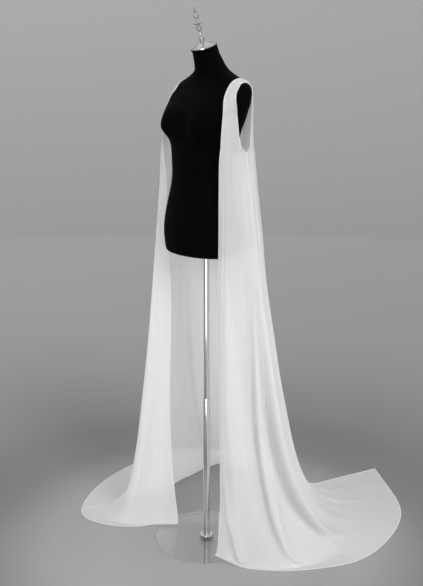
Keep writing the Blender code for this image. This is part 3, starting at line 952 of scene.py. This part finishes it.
LEFT_FOLDS: tuple[Fold, ...] = (
    Fold(0.60, 1.90, 0.35, 0.25, 0.42, 0.005, 0.026),
    Fold(0.70, 1.90, 0.70, 0.62, 0.78, -0.004, 0.026),
    Fold(0.40, 1.85, 1.65, 1.72, 2.10, 0.006, 0.034),
    Fold(0.30, 1.85, 2.20, 2.40, 3.10, 0.010, 0.040),
    Fold(0.55, 1.80, 2.60, 2.80, 3.62, -0.007, 0.030),
    Fold(0.25, 1.85, 2.95, 3.15, 4.00, 0.013, 0.034),
    Fold(0.45, 1.80, 3.55, 3.60, 4.25, -0.010, 0.032),
    Fold(0.25, 1.85, 4.00, 4.10, 4.60, 0.012, 0.034),
    Fold(0.45, 1.80, 4.55, 4.60, 4.85, -0.009, 0.030),
)
RIGHT_FOLDS: tuple[Fold, ...] = (
    Fold(0.45, 1.90, 0.55, 0.50, 0.45, 0.007, 0.030),
    Fold(0.50, 1.90, 1.10, 1.15, 1.15, 0.010, 0.036),
    Fold(0.50, 1.85, 1.60, 1.70, 1.60, -0.007, 0.032),
    Fold(0.30, 1.90, 2.15, 2.30, 2.10, 0.012, 0.038),
    Fold(0.45, 1.85, 2.80, 2.75, 2.60, -0.010, 0.032),
    Fold(0.30, 1.88, 3.20, 3.25, 3.20, 0.012, 0.036),
    Fold(0.45, 1.85, 3.75, 3.75, 3.80, -0.009, 0.032),
    Fold(0.30, 1.88, 4.20, 4.25, 4.35, 0.011, 0.036),
)
# Fine drape lines that start in the gathers and fade down the cloth
LEFT_DRAPES: tuple[Fold, ...] = (
    Fold(0.03, 1.30, 0.16, 0.12, 0.10, 0.0016, 0.010, 0.25),
    Fold(0.10, 1.55, 0.42, 0.38, 0.40, 0.0024, 0.013, 0.60),
    Fold(0.05, 1.20, 0.62, 0.55, 0.60, -0.0016, 0.009, 0.40),
    Fold(0.12, 1.70, 0.90, 0.86, 0.95, 0.0026, 0.014, 0.70),
    Fold(0.08, 1.35, 1.12, 1.10, 1.20, 0.0018, 0.010, 0.45),
    Fold(0.20, 1.60, 1.34, 1.36, 1.50, 0.0028, 0.013, 0.75),
    Fold(0.24, 1.50, 1.74, 1.80, 1.95, 0.0032, 0.014, 0.55),
    Fold(0.26, 1.65, 2.28, 2.40, 2.90, -0.0028, 0.013, 0.60),
    Fold(0.10, 1.55, 2.46, 2.58, 3.10, 0.0030, 0.014, 0.60),
    Fold(0.08, 1.60, 2.80, 2.95, 3.55, 0.0026, 0.013, 0.55),
    Fold(0.05, 1.45, 3.25, 3.38, 3.90, 0.0028, 0.014, 0.50),
    Fold(0.10, 1.60, 3.72, 3.85, 4.20, -0.0024, 0.012, 0.60),
    Fold(0.06, 1.40, 3.86, 3.95, 4.35, 0.0026, 0.013, 0.50),
    Fold(0.10, 1.65, 4.30, 4.36, 4.60, 0.0030, 0.014, 0.65),
    Fold(0.05, 1.50, 4.66, 4.70, 4.80, 0.0022, 0.012, 0.50),
    Fold(0.03, 1.30, 4.86, 4.88, 4.92, 0.0015, 0.009, 0.30),
)
RIGHT_DRAPES: tuple[Fold, ...] = (
    Fold(0.04, 1.40, 0.20, 0.16, 0.14, 0.0018, 0.011, 0.30),
    Fold(0.08, 1.60, 0.40, 0.34, 0.30, 0.0026, 0.014, 0.60),
    Fold(0.06, 1.30, 0.70, 0.68, 0.72, -0.0018, 0.010, 0.45),
    Fold(0.14, 1.65, 0.92, 0.92, 0.90, 0.0028, 0.014, 0.70),
    Fold(0.10, 1.40, 1.28, 1.30, 1.34, 0.0020, 0.012, 0.50),
    Fold(0.22, 1.60, 1.48, 1.52, 1.50, 0.0028, 0.014, 0.75),
    Fold(0.25, 1.50, 1.80, 1.88, 1.86, 0.0030, 0.014, 0.60),
    Fold(0.26, 1.60, 2.30, 2.42, 2.36, -0.0026, 0.013, 0.60),
    Fold(0.10, 1.55, 2.52, 2.56, 2.50, 0.0030, 0.014, 0.60),
    Fold(0.08, 1.60, 2.96, 3.00, 2.95, 0.0026, 0.013, 0.55),
    Fold(0.06, 1.45, 3.42, 3.46, 3.50, 0.0028, 0.014, 0.50),
    Fold(0.10, 1.55, 3.60, 3.64, 3.70, -0.0022, 0.012, 0.60),
    Fold(0.05, 1.40, 3.95, 3.98, 4.05, 0.0026, 0.013, 0.50),
    Fold(0.10, 1.60, 4.42, 4.46, 4.52, 0.0028, 0.014, 0.65),
    Fold(0.05, 1.45, 4.70, 4.74, 4.80, 0.0020, 0.012, 0.50),
    Fold(0.03, 1.30, 4.88, 4.90, 4.94, 0.0014, 0.009, 0.30),
)

# The sharp folds that run from the side down into the trains
LEFT_RIDGES: tuple[Ridge, ...] = (
    Ridge(((1.98, 0.19), (1.86, 0.25), (1.74, 0.337), (1.82, 0.49), (1.86, 0.60), (1.84, 0.727),
           (1.80, 0.863), (1.76, 1.00), (1.74, 1.107), (1.74, 1.212), (1.79, 1.327), (1.85, 1.438),
           (1.91, 1.52), (1.99, 1.606), (2.06, 1.68), (2.13, 1.723), (2.29, 1.735), (2.40, 1.745),
           (2.45, 1.79)), 0.014, 0.011, 0.017, 0.7, 0.10),
    Ridge(((1.94, 0.45), (2.02, 0.60), (2.14, 0.83), (2.22, 1.07), (2.31, 1.22), (2.46, 1.337),
           (2.64, 1.466), (2.73, 1.526), (2.83, 1.581), (2.92, 1.635), (3.05, 1.675), (3.33, 1.712),
           (3.58, 1.745)), 0.028, 0.011, 0.018, 0.6, 0.10),
    Ridge(((0.42, 1.38), (0.48, 1.45), (0.57, 1.522), (0.69, 1.573), (0.80, 1.653), (0.94, 1.713),
           (1.10, 1.735)), 0.012, 0.011, 0.015, 0.5, 0.10),
    Ridge(((2.85, 0.40), (2.95, 0.80), (3.10, 1.15), (3.35, 1.40), (3.70, 1.56), (4.00, 1.66)),
          0.008, 0.014, 0.006, 0.6, 0.25),
    Ridge(((3.70, 0.45), (3.80, 0.85), (3.90, 1.20), (4.10, 1.45), (4.35, 1.62), (4.50, 1.70)),
          0.007, 0.013, 0.007, 0.6, 0.25),
)
RIGHT_RIDGES: tuple[Ridge, ...] = (
    Ridge(((0.60, 0.90), (0.74, 1.20), (0.82, 1.40), (0.87, 1.512), (0.90, 1.583), (0.94, 1.654),
           (1.02, 1.71), (1.15, 1.74)), 0.008, 0.012, 0.005, 0.5, 0.2),
    Ridge(((1.70, 0.60), (1.74, 0.90), (1.76, 1.20), (1.80, 1.45), (1.84, 1.60), (1.88, 1.70),
           (1.92, 1.77)), 0.008, 0.013, 0.004, 0.6, 0.2),
    Ridge(((2.40, 0.45), (2.50, 0.90), (2.60, 1.25), (2.66, 1.50), (2.72, 1.66), (2.85, 1.74)),
          0.010, 0.013, 0.004, 0.6, 0.2),
    Ridge(((3.35, 0.45), (3.40, 0.85), (3.45, 1.20), (3.55, 1.45), (3.70, 1.62), (3.85, 1.71)),
          0.010, 0.013, 0.004, 0.6, 0.2),
)

# Creases in the trains, by their place on the floor
LEFT_CREASES: tuple[Crease, ...] = (
    Crease((0.09, 0.42), (0.155, 0.57), (0.20, 0.74), 0.013, 0.009),
    Crease((0.02, 0.46), (0.05, 0.61), (0.07, 0.74), 0.010, 0.008),
    Crease((0.24, 0.44), (0.31, 0.53), (0.36, 0.60), 0.0018, 0.012),
    Crease((-0.02, 0.66), (-0.01, 0.73), (0.01, 0.80), 0.0020, 0.010),
    Crease((0.40, 0.22), (0.43, 0.27), (0.46, 0.30), 0.0016, 0.010),
)
RIGHT_CREASES: tuple[Crease, ...] = (
    Crease((0.50, -0.10), (0.46, 0.02), (0.50, 0.10), 0.0050, 0.018),
    Crease((0.46, 0.12), (0.52, 0.20), (0.60, 0.24), 0.0050, 0.017),
    Crease((0.42, 0.36), (0.50, 0.40), (0.58, 0.42), 0.0045, 0.016),
    Crease((0.34, 0.48), (0.40, 0.56), (0.46, 0.64), 0.0050, 0.016),
    Crease((0.27, 0.54), (0.30, 0.60), (0.33, 0.68), 0.0035, 0.014),
    Crease((0.36, -0.16), (0.40, -0.18), (0.44, -0.16), 0.0030, 0.012),
    Crease((0.54, -0.02), (0.60, 0.06), (0.62, 0.12), 0.0030, 0.014),
)


class PanelSpan(Enum):
    """The two panels of a wing, as their first and last place across."""

    FRONT = (0.0, SEAM)
    BACK = (SEAM, CENTRE_BACK)


@dataclass(frozen=True)
class Cut:
    """The flat piece of cloth that a panel is cut from."""

    width: float
    length: float
    area: float


@dataclass(frozen=True)
class Sewing:
    """Sizes of hems and seams, and how fine the meshes are."""

    hem_half_width: float = 0.0016
    hem_half_thick: float = 0.0009
    seam_half_width: float = 0.0022
    seam_half_thick: float = 0.0007
    seam_gap: float = 0.0006
    end_inset: float = 0.004
    arm_inset: float = 0.0005
    step_metres: float = 0.3
    front_columns: int = 116
    back_columns: int = 196
    rows: int = 340
    edge_points: int = 420
    shoulder_points: int = 60


@dataclass(frozen=True)
class Gathers:
    """Small waves where the cloth is drawn in over the shoulder."""

    waves: int = 4
    rise: float = 0.0010
    fine_waves: int = 11
    fine_rise: float = 0.0003
    sway: float = 1.3
    fade: float = 0.20


@dataclass(frozen=True)
class FoldShape:
    """How soft folds run: metres down to their low place, and how they widen and fade."""

    low: float = 1.25
    narrow: float = 0.45
    wide_from: float = 1.45
    fade: float = 0.35


@dataclass(frozen=True)
class RidgeShape:
    """How sharp folds are shaped, and the shade painted beside them. Places beside the line are
    counted in the fold's own widths, pairs along it are the shares over which something dies
    away, and the last field is the hollow at which the painted shade is full."""

    step_metres: float = 0.12
    legs: int = 32
    margin: float = 0.08
    slack: float = 2.6
    hollow_at: float = 1.7
    hollow_near: float = 0.85
    hollow_far: float = 2.2
    hollow_end: Pair = (0.75, 0.92)
    shade_at: float = 1.1
    shade_near: float = 0.7
    shade_far: float = 1.35
    shade_end: Pair = (0.85, 1.0)
    painted_shade_full: float = 0.028


@dataclass(frozen=True)
class CreaseShape:
    """How creases on the floor rise along their route, and the shade painted beside them; the last
    field is the crease height at which that painted shade is full.
    """

    low: float = 0.05
    least: float = 0.01
    marks: int = 25
    start: Pair = (0.0, 0.3)
    end: Pair = (0.7, 1.0)
    shade_at: float = 1.0
    shade_width: float = 0.6
    painted_shade_full: float = 0.024


class Wing:
    """One shoulder wing: a surface from the shoulder ridge to the hem, in two panels."""

    # How far the cloth stays off the form, at places down from the shoulder
    CLEAR_DOWN = (0.02, 0.06, 0.10, 0.18)
    CLEAR = (0.0008, 0.0015, 0.0015, 0.0030)
    # Length below the armhole over which the two halves of the surface run together
    JOIN = 0.10
    # Roundness of the turn to the floor, and where below the touching row it ends
    FLOOR_TURN = 0.009
    TURN_END = (0.005, 0.055)
    # Cloth on the floor shorter than the first doesn't lie over, and longer than the second does
    LYING_RUN = (0.06, 0.20)
    HANG_ABOVE = 0.10

    def __init__(self, side: Side, sections: Sequence[Section], folds: Sequence[Fold],
                 ridges: Sequence[Ridge], creases: Sequence[Crease], form: DressForm,
                 stand: Stand) -> None:
        """Lay out the rails that run down the cloth.

        Args:
            side: the wearer's side.
            sections: levels below the armhole.
            folds: folds and drape lines.
            ridges: sharp folds into the train.
            creases: creases on the floor.
            form: what the cloth hangs on.
            stand: whose base the cloth lies on.
        """
        self.side = side
        self.word = side.name.lower()
        self.flip = np.array([side.value, 1.0, 1.0])
        self.folds = folds
        self.ridges = ridges
        self.creases = creases
        self.form = form
        self.stand = stand
        self.sewing = Sewing()
        self.gathers = Gathers()
        levels = np.array([row.places() for row in (*STRAPS, *sections)]) * MM
        self.rails = dict(zip(RAILS, levels.transpose(1, 0, 2)))
        lengths = [np.linalg.norm(np.diff(points, axis=0), axis=1) for points in self.rails.values()]
        self.down = np.concatenate([[0.0], np.cumsum(np.mean(lengths, axis=0))])
        self.arm_row = len(STRAPS) - 1
        self.arm = float(self.down[self.arm_row])
        self.touch = float(self.down[-2])
        self.hem = float(self.down[-1])

    def rail(self, name: str, down: Array) -> Array:
        """Points of one rail. A seam rail turns sharply at the armhole's bottom."""
        points = self.rails[name]
        if not name.endswith("seam"):
            return smooth(self.down, points, down)
        cut = self.arm_row
        above = smooth(self.down[:cut + 1], points[:cut + 1], down)
        below = smooth(self.down[cut:], points[cut:], down)
        return np.where((down < self.arm)[:, None], above, below)

    def plain(self, across: Array, down: Array) -> Array:
        """The surface before folds.

        Args:
            across: places from 0 at the front edge to 5 at the centre-back edge.
            down: metres from the shoulder ridge.

        Returns:
            Points, as on the left side.
        """
        # Down to the armhole each panel ends at its own seam rail, so its slope there is its own
        front = across.mean() < SEAM
        names = (*RAILS[:2], RAILS[2] if front else RAILS[3], *RAILS[4:])
        rails = np.stack([self.rail(name, down) for name in names])
        middle = (rails[2:] - rails[:-2]) / 2.0
        slopes = np.concatenate([rails[1:2] - rails[:1], middle, rails[-1:] - rails[-2:-1]])
        lone = rails[2] - rails[1] if front else rails[3] - rails[2]
        joined = ease(down, self.arm, self.arm + self.JOIN)[:, None]
        slopes[2] = lone * (1.0 - joined) + slopes[2] * joined
        at = np.clip(np.floor(across).astype(int), 0, 4)
        pick = np.arange(len(down))
        return hermite(rails[at, pick], rails[at + 1, pick], slopes[at, pick], slopes[at + 1, pick],
                       np.ones(len(down)), across - at)

    def outward(self, across: Array, down: Array) -> tuple[Array, Array]:
        """Surface normals, and metres for each step across."""
        nudge = 0.004
        wide = self.plain(across + nudge, down) - self.plain(across - nudge, down)
        long = self.plain(across, down + nudge) - self.plain(across, down - nudge)
        return unit(np.cross(long, wide)), np.linalg.norm(wide, axis=1) / (2 * nudge)

    def fold_rise(self, across: Array, down: Array, metres: Array) -> Array:
        """How far folds, drape lines and gathers push the cloth out."""
        shape = FoldShape()
        rise = np.zeros(len(down))
        spread = shape.narrow + (1.0 - shape.narrow) * ease(down, self.arm, shape.wide_from)
        for fold in self.folds:
            places = (fold.across_top, fold.across_low, fold.across_end)
            path = smooth((self.arm, shape.low, self.hem), places, down)
            away = (across - path) * metres / (fold.width * spread)
            fade = 1.0 - ease(down, fold.end - shape.fade, fold.end)
            rise += fold.rise * ease(down, fold.start, fold.full) * fade * np.exp(-away**2)
        gathers = self.gathers
        span = PanelSpan.FRONT if across.mean() < SEAM else PanelSpan.BACK
        first, last = span.value
        turn = 2 * math.pi * (across - first) / (last - first)
        wave = gathers.rise * (0.5 - 0.5 * np.cos(gathers.waves * turn))
        wave += gathers.fine_rise * np.sin(gathers.fine_waves * turn + gathers.sway * np.sin(turn))
        return rise + wave * (1.0 - ease(down, self.arm - gathers.fade, self.arm))

    @staticmethod
    def beside_line(places: Array, metres: Array, path: Array) -> tuple[Array, Array]:
        """Find where places lie beside a line of short legs.

        Args:
            places: across and metres down, one row for each place.
            metres: width of one step across at each place.
            path: the line's points, across and metres down.

        Returns:
            Distance from the line, positive on its rear side, and the share of the line passed.
        """
        scale = np.stack([metres, np.ones(len(metres))], axis=1)[:, None]
        start = path[None, :-1] * scale
        leg = path[None, 1:] * scale - start
        reach = places[:, None] * scale - start
        share = (reach * leg).sum(axis=2) / np.maximum((leg * leg).sum(axis=2), 1e-12)
        share = np.clip(share, 0.0, 1.0)
        gap = reach - share[..., None] * leg
        away = np.linalg.norm(gap, axis=2)
        pick = (np.arange(len(away)), away.argmin(axis=1))
        side = np.sign(leg[pick][:, 1] * gap[pick][:, 0] - leg[pick][:, 0] * gap[pick][:, 1])
        return away[pick] * side, (pick[1] + share[pick]) / (len(path) - 1)

    def ridge_rise(self, across: Array, down: Array, metres: Array) -> tuple[Array, Array]:
        """Lift the cloth along its sharp folds, and lay painted shade beside them.

        Args:
            across: places from 0 at the front edge to 5 at the centre-back edge.
            down: metres from the shoulder ridge.
            metres: width of one step across there.

        Returns:
            How far folds push the cloth out, less their hollows, and the shade painted along each
            hollow, from 0 to 1.
        """
        shape = RidgeShape()
        rise = np.zeros(len(down))
        shade = np.zeros(len(down))
        for ridge in self.ridges:
            line = np.array(ridge.line)
            steps = np.linalg.norm(np.diff(line * (shape.step_metres, 1.0), axis=0), axis=1)
            knots = np.concatenate([[0.0], np.cumsum(steps)]) / steps.sum()
            path = smooth(knots, line, np.linspace(0.0, 1.0, shape.legs + 1))
            low, high = path[:, 1].min() - shape.margin, path[:, 1].max() + shape.margin
            near = (down > low) & (down < high)
            if not near.any():
                continue
            places = np.stack([across[near], down[near]], axis=1)
            away, along = self.beside_line(places, metres[near], path)
            signed = away / ridge.width
            strength = ease(along, 0.0, ridge.grow) * (1.0 - ease(along, 1.0 - ridge.fade, 1.0))
            width = np.where(signed > -shape.hollow_at, shape.hollow_near, shape.hollow_far)
            dip = (signed + shape.hollow_at) / width
            hollow = ridge.hollow * (1.0 - ease(along, *shape.hollow_end)) * np.exp(-dip**2)
            crest = np.exp(-np.where(signed > 0.0, signed / shape.slack, signed)**2)
            rise[near] += strength * (ridge.rise * crest - hollow)
            # Painted shade in a band between the crest and its hollow, scaled by the hollow's depth
            width = np.where(signed > -shape.shade_at, shape.shade_near, shape.shade_far)
            painted_shade = np.exp(-((signed + shape.shade_at) / width)**2)
            shade[near] += strength * (1.0 - ease(along, *shape.shade_end)) * ridge.hollow * painted_shade
        return rise, np.minimum(shade / shape.painted_shade_full, 1.0)

    def crease_rise(self, points: Array) -> tuple[Array, Array]:
        """How far creases lift cloth that lies on the floor, and the shade painted beside them."""
        shape = CreaseShape()
        rise = np.zeros(len(points))
        shade = np.zeros(len(points))
        low = np.exp(-(points[:, 2] / shape.low)**2)
        lying = low > shape.least
        flat = points[lying, :2]
        marks = np.linspace(0.0, 1.0, shape.marks)
        for crease in self.creases:
            route = smooth((0.0, 0.5, 1.0), (crease.first, crease.middle, crease.last), marks)
            away = np.linalg.norm(flat[:, None] - route[None], axis=2)
            pick = np.argmin(away, axis=1)
            fade = ease(marks[pick], *shape.start) * (1.0 - ease(marks[pick], *shape.end))
            near = away.min(axis=1) / crease.width
            rise[lying] += crease.rise * fade * np.exp(-near**2)
            # Painted shade in a band on one side of each crease
            course = np.gradient(route, axis=0)[pick]
            gap = flat - route[pick]
            side = np.sign(course[:, 0] * gap[:, 1] - course[:, 1] * gap[:, 0])
            painted_shade = np.exp(-((near * side - shape.shade_at) / shape.shade_width)**2)
            shade[lying] += crease.rise / shape.painted_shade_full * fade * painted_shade
        return rise * low, shade * low

    def lying_share(self, across: Array) -> Array:
        """How much of a fold lies over on the floor: none where the hem only just touches it."""
        ends = [self.plain(across, np.full(len(across), down)) for down in (self.touch, self.hem)]
        return ease(np.linalg.norm(ends[1] - ends[0], axis=1), *self.LYING_RUN)

    def surface(self, across: Array, down: Array, rest: float = CLOTH / 2) -> tuple[Array, Array]:
        """The middle of the finished cloth.

        Args:
            across: places from 0 at the front edge to 5 at the centre-back edge.
            down: metres from the shoulder ridge.
            rest: height of the middle above what it lies on.

        Returns:
            Points and outward normals.
        """
        clearance = np.interp(down, self.CLEAR_DOWN, self.CLEAR) + CLOTH / 2
        points = self.form.lift(self.plain(across, down), clearance)
        normal, metres = self.outward(across, down)
        hanging, _ = self.outward(across, np.minimum(down, self.touch - self.HANG_ABOVE))
        lying = self.lying_share(across)[:, None]
        way = unit(normal * lying + hanging * (1.0 - lying))
        rise = self.fold_rise(across, down, metres) + self.ridge_rise(across, down, metres)[0]
        rise += self.crease_rise(points)[0] + CLOTH / 2
        points += way * rise[:, None]
        points = self.form.lift(points, clearance)
        low = self.stand.ground(points) + rest
        start, end = self.TURN_END
        bend = self.FLOOR_TURN * (1.0 - ease(down, self.touch + start, self.touch + end)) + 1e-6
        above = points[:, 2] - low
        turn = (above + bend)**2 / (4.0 * bend)
        points[:, 2] = low + np.where(np.abs(above) < bend, turn, np.maximum(above, 0.0))
        return points * self.flip, normal * self.flip

    def cloth(self, span: PanelSpan) -> bpy.types.Mesh:
        """One panel as a fine sheet, with its cut map and the shade painted into its folds."""
        front = span is PanelSpan.FRONT
        columns = self.sewing.front_columns if front else self.sewing.back_columns
        along = np.linspace(0.0, self.hem, self.sewing.rows)
        wide = np.linspace(*span.value, columns)
        down, across = (grid.ravel() for grid in np.meshgrid(along, wide, indexing="ij"))
        _, metres = self.outward(across, down)
        inset = self.sewing.seam_gap / 2 / np.maximum(metres, 0.01)
        inset *= -1.0 if front else 1.0
        across = across + np.where(np.abs(across - SEAM) < 1e-6, inset, 0.0)
        points, _ = self.surface(across, down)
        faces = grid_faces(len(along), columns)
        if self.side is Side.RIGHT:
            faces = faces[:, ::-1]
        mesh = mesh_of(f"{self.word}_{span.name.lower()}_cloth", points, faces)
        rows = points.reshape(len(along), columns, 3)
        steps = np.linalg.norm(np.diff(rows, axis=1), axis=2)
        reach = np.concatenate([np.zeros((len(along), 1)), np.cumsum(steps, axis=1)], axis=1)
        set_cut_map(mesh, np.stack([reach.ravel(), down], axis=1))
        # Painted shade for the fold hollows and beside the floor creases, stored on the points for the
        # chiffon's colour
        shade = self.ridge_rise(across, down, metres)[1] + self.crease_rise(points * self.flip)[1]
        layer = mesh.attributes.new(FOLD_SHADE, "FLOAT", "POINT")
        layer.data.foreach_set("value", shade.astype(np.float32))
        return mesh

    def edge(self, across: Sequence[float], down: Sequence[float]) -> tuple[Array, Array]:
        """A line along the cloth's edge through given places, with its normals."""
        marks = np.linspace(0.0, 1.0, self.sewing.edge_points)
        legs = np.hypot(np.diff(across) * self.sewing.step_metres, np.diff(down))
        knots = np.concatenate([[0.0], np.cumsum(legs)]) / legs.sum()
        return self.surface(np.interp(marks, knots, across), np.interp(marks, knots, down),
                            rest=self.sewing.hem_half_thick)

    def hems(self, span: PanelSpan) -> bpy.types.Mesh:
        """The rolled hem round a panel's free edges."""
        arm_end = self.arm - self.sewing.end_inset
        if span is PanelSpan.FRONT:
            beside = SEAM - self.sewing.arm_inset
            free = self.edge((0.0, 0.0, SEAM), (0.0, self.hem, self.hem))
            arm = self.edge((beside, beside), (0.0, arm_end))
        else:
            beside = SEAM + self.sewing.arm_inset
            free = self.edge((SEAM, CENTRE_BACK, CENTRE_BACK), (self.hem, self.hem, 0.0))
            arm = self.edge((beside, beside), (arm_end, 0.0))
        return strip_mesh(f"{self.word}_{span.name.lower()}_hem", [free, arm],
                          self.sewing.hem_half_width, self.sewing.hem_half_thick)

    def seams(self) -> bpy.types.Mesh:
        """The shoulder seam over the ridge and the side seam below the armhole."""
        sewing = self.sewing
        down = np.linspace(self.arm, self.hem - sewing.end_inset, sewing.edge_points)
        places = np.full(len(down), SEAM + 0.0001)
        side = self.surface(places, down, rest=sewing.hem_half_thick)
        share = np.linspace(0.02, 0.98, sewing.shoulder_points)
        top = np.zeros(len(share))
        front, front_normal = self.surface(share * SEAM, top)
        back, back_normal = self.surface(CENTRE_BACK - share * (CENTRE_BACK - SEAM), top)
        lift = np.array([0.0, 0.0, sewing.seam_half_thick])
        shoulder = ((front + back) / 2 + lift, unit(front_normal + back_normal))
        return strip_mesh(f"{self.word}_seam_strips", [shoulder, side],
                          sewing.seam_half_width, sewing.seam_half_thick)

    def build(self, sheer: bpy.types.Material, dense: bpy.types.Material,
              cuts: dict[PanelSpan, Cut]) -> None:
        seams = add_piece(f"{self.word}_seams", self.seams(), sheer)
        for span in PanelSpan:
            word = f"{self.word}_{span.name.lower()}"
            hem = add_piece(f"{word}_rolled_hem", self.hems(span), dense)
            cloth = add_piece(f"{word}_chiffon", self.cloth(span), sheer, [word])


# Studio

@dataclass(frozen=True)
class Softbox:
    """A rectangular soft light that faces a point of the set."""

    name: str
    place: Triple
    aim: Triple
    width: float
    height: float
    power: float
    shine_only: bool = False

    def build(self) -> None:
        """Hang the light and turn it to its point."""
        data = bpy.data.lights.new(self.name, "AREA")
        data.shape = "RECTANGLE"
        data.size = self.width
        data.size_y = self.height
        data.energy = self.power
        lamp = bpy.data.objects.new(self.name, data)
        lamp.location = self.place
        way = Vector(self.aim) - Vector(self.place)
        lamp.rotation_euler = way.to_track_quat("-Z", "Y").to_euler()
        lamp.visible_glossy = self.shine_only
        lamp.visible_diffuse = not self.shine_only
        lamp.visible_transmission = not self.shine_only
        lamp.visible_camera = False
        bpy.context.scene.collection.objects.link(lamp)


@dataclass(frozen=True)
class WideLight:
    """Wide even light from one side, as from a bank of windows."""

    name: str
    place: Triple
    strength: float
    spread: float

    def build(self) -> None:
        """Hang the light; it shines from its place towards the pole."""
        data = bpy.data.lights.new(self.name, "SUN")
        data.energy = self.strength
        data.angle = math.radians(self.spread)
        lamp = bpy.data.objects.new(self.name, data)
        lamp.location = self.place
        lamp.rotation_euler = (-Vector(self.place)).to_track_quat("-Z", "Y").to_euler()
        bpy.context.scene.collection.objects.link(lamp)


@dataclass(frozen=True)
class Studio:
    """Pale seamless paper, soft lights and the camera at the photograph's angle."""

    paper_flat: float = 3.0
    paper_bend: float = 19.0
    paper_height: float = 15.0
    paper_steps: int = 60
    floor_drop: float = 0.0003
    azimuth: float = math.radians(50.0)
    distance: float = 3.018
    height: float = 1.73
    tilt: float = math.radians(14.722)
    focal_pixels: float = 900.0
    pan_pixels: float = 5.337
    image_height: float = 586.0
    sensor: float = 36.0
    ambient: float = 0.60
    lights: tuple[WideLight | Softbox, ...] = (
        WideLight("front_light", (0.4, -3.4, 1.6), 1.0, 40.0),
        WideLight("key_light", (3.3, -0.6, 1.9), 1.3, 24.0),
        WideLight("right_light", (2.6, 2.3, 1.6), 0.9, 36.0),
        WideLight("side_light", (-3.2, 1.5, 1.5), 1.0, 40.0),
        Softbox("high_softbox", (1.9, -2.7, 2.5), (0.0, 0.0, 1.4), 1.6, 1.6, 34.0),
        Softbox("low_softbox", (1.5, -1.9, 0.4), (0.0, 0.0, 0.5), 1.3, 0.9, 9.0, True),
        Softbox("tall_softbox", (2.6, -2.6, 2.4), (0.0, 0.0, 1.4), 0.9, 1.8, 9.0, True),
    )

    def camera(self) -> None:
        """Create the camera: on a circle round the pole, tilted down, its aim panned a little."""
        out = Vector((math.sin(self.azimuth), -math.cos(self.azimuth), 0.0))
        ahead = -out
        right = Vector((math.cos(self.azimuth), math.sin(self.azimuth), 0.0))
        pan = math.atan(self.pan_pixels / self.focal_pixels)
        panned = ahead * math.cos(pan) + right * math.sin(pan)
        right = right * math.cos(pan) - ahead * math.sin(pan)
        forward = panned * math.cos(self.tilt) - Vector((0.0, 0.0, math.sin(self.tilt)))
        up = right.cross(forward)
        data = bpy.data.cameras.new("camera")
        data.sensor_width = self.sensor
        data.lens = self.focal_pixels * self.sensor / self.image_height
        camera = bpy.data.objects.new("camera", data)
        bpy.context.scene.collection.objects.link(camera)
        turn = Matrix((right, up, -forward)).transposed().to_4x4()
        place = out * self.distance + Vector((0.0, 0.0, self.height))
        camera.matrix_world = Matrix.Translation(place) @ turn
        bpy.context.scene.camera = camera

    def paper(self) -> None:
        """Hang the paper: a flat floor that curves up into a round wall."""
        turns = ease(np.linspace(0.0, 1.0, self.paper_steps + 1), 0.0, 1.0) * math.pi / 2
        step = self.paper_bend / self.paper_steps
        reach = self.paper_flat + np.cumsum(np.cos(turns)) * step
        rise = np.cumsum(np.sin(turns)) * step
        floor = [(0.0, 0.0), (0.9 * self.paper_flat, 0.0), (self.paper_flat, 0.0)]
        wall = [*zip(reach, rise), (reach[-1], self.paper_height)]
        mesh = turned("studio_paper", [*floor, *wall], 96)
        mesh.materials.append(StudioPaper().build())
        paper = bpy.data.objects.new("studio_paper", mesh)
        paper.location.z = -self.floor_drop
        paper.visible_shadow = False
        bpy.context.scene.collection.objects.link(paper)

    def world(self) -> None:
        """Even light from all round, and plain colours in the picture."""
        world = bpy.data.worlds.new("soft_studio")
        world.use_nodes = True
        background = world.node_tree.nodes["Background"]
        background.inputs["Color"].default_value = (*(self.ambient,) * 3, 1.0)
        bpy.context.scene.world = world
        bpy.context.scene.view_settings.view_transform = "Standard"

    def build(self) -> None:
        """Set the studio up."""
        self.camera()
        self.paper()
        self.world()
        for light in self.lights:
            light.build()


def main() -> None:
    """Build every sub-assembly in order and report it."""
    logging.basicConfig(level=logging.INFO, format="%(name)s %(message)s")
    Studio().build()
    chrome = Chrome().build()
    form = DressForm()
    stand = Stand()
    form.build(Jersey().build(), chrome)
    stand.build(chrome, ClearGlass("clear_glass", haze=0.01).build(), form)
    sheer = Chiffon("sheer_chiffon", cover=0.89).build()
    dense = Chiffon("hem_chiffon", cover=0.96, unevenness=0.02, thinning=0.0).build()
    cuts = {
        Side.LEFT: {PanelSpan.FRONT: Cut(0.40, 1.78, 0.30), PanelSpan.BACK: Cut(1.05, 2.20, 1.00)},
        Side.RIGHT: {PanelSpan.FRONT: Cut(0.50, 1.90, 0.45), PanelSpan.BACK: Cut(1.15, 2.05, 1.00)},
    }
    wings = (
        Wing(Side.LEFT, LEFT_SECTIONS, LEFT_FOLDS + LEFT_DRAPES, LEFT_RIDGES, LEFT_CREASES,
             form, stand),
        Wing(Side.RIGHT, RIGHT_SECTIONS, RIGHT_FOLDS + RIGHT_DRAPES, RIGHT_RIDGES, RIGHT_CREASES,
             form, stand),
    )
    for wing in wings:
        wing.build(sheer, dense, cuts[wing.side])


if __name__ == "__main__":
    main()
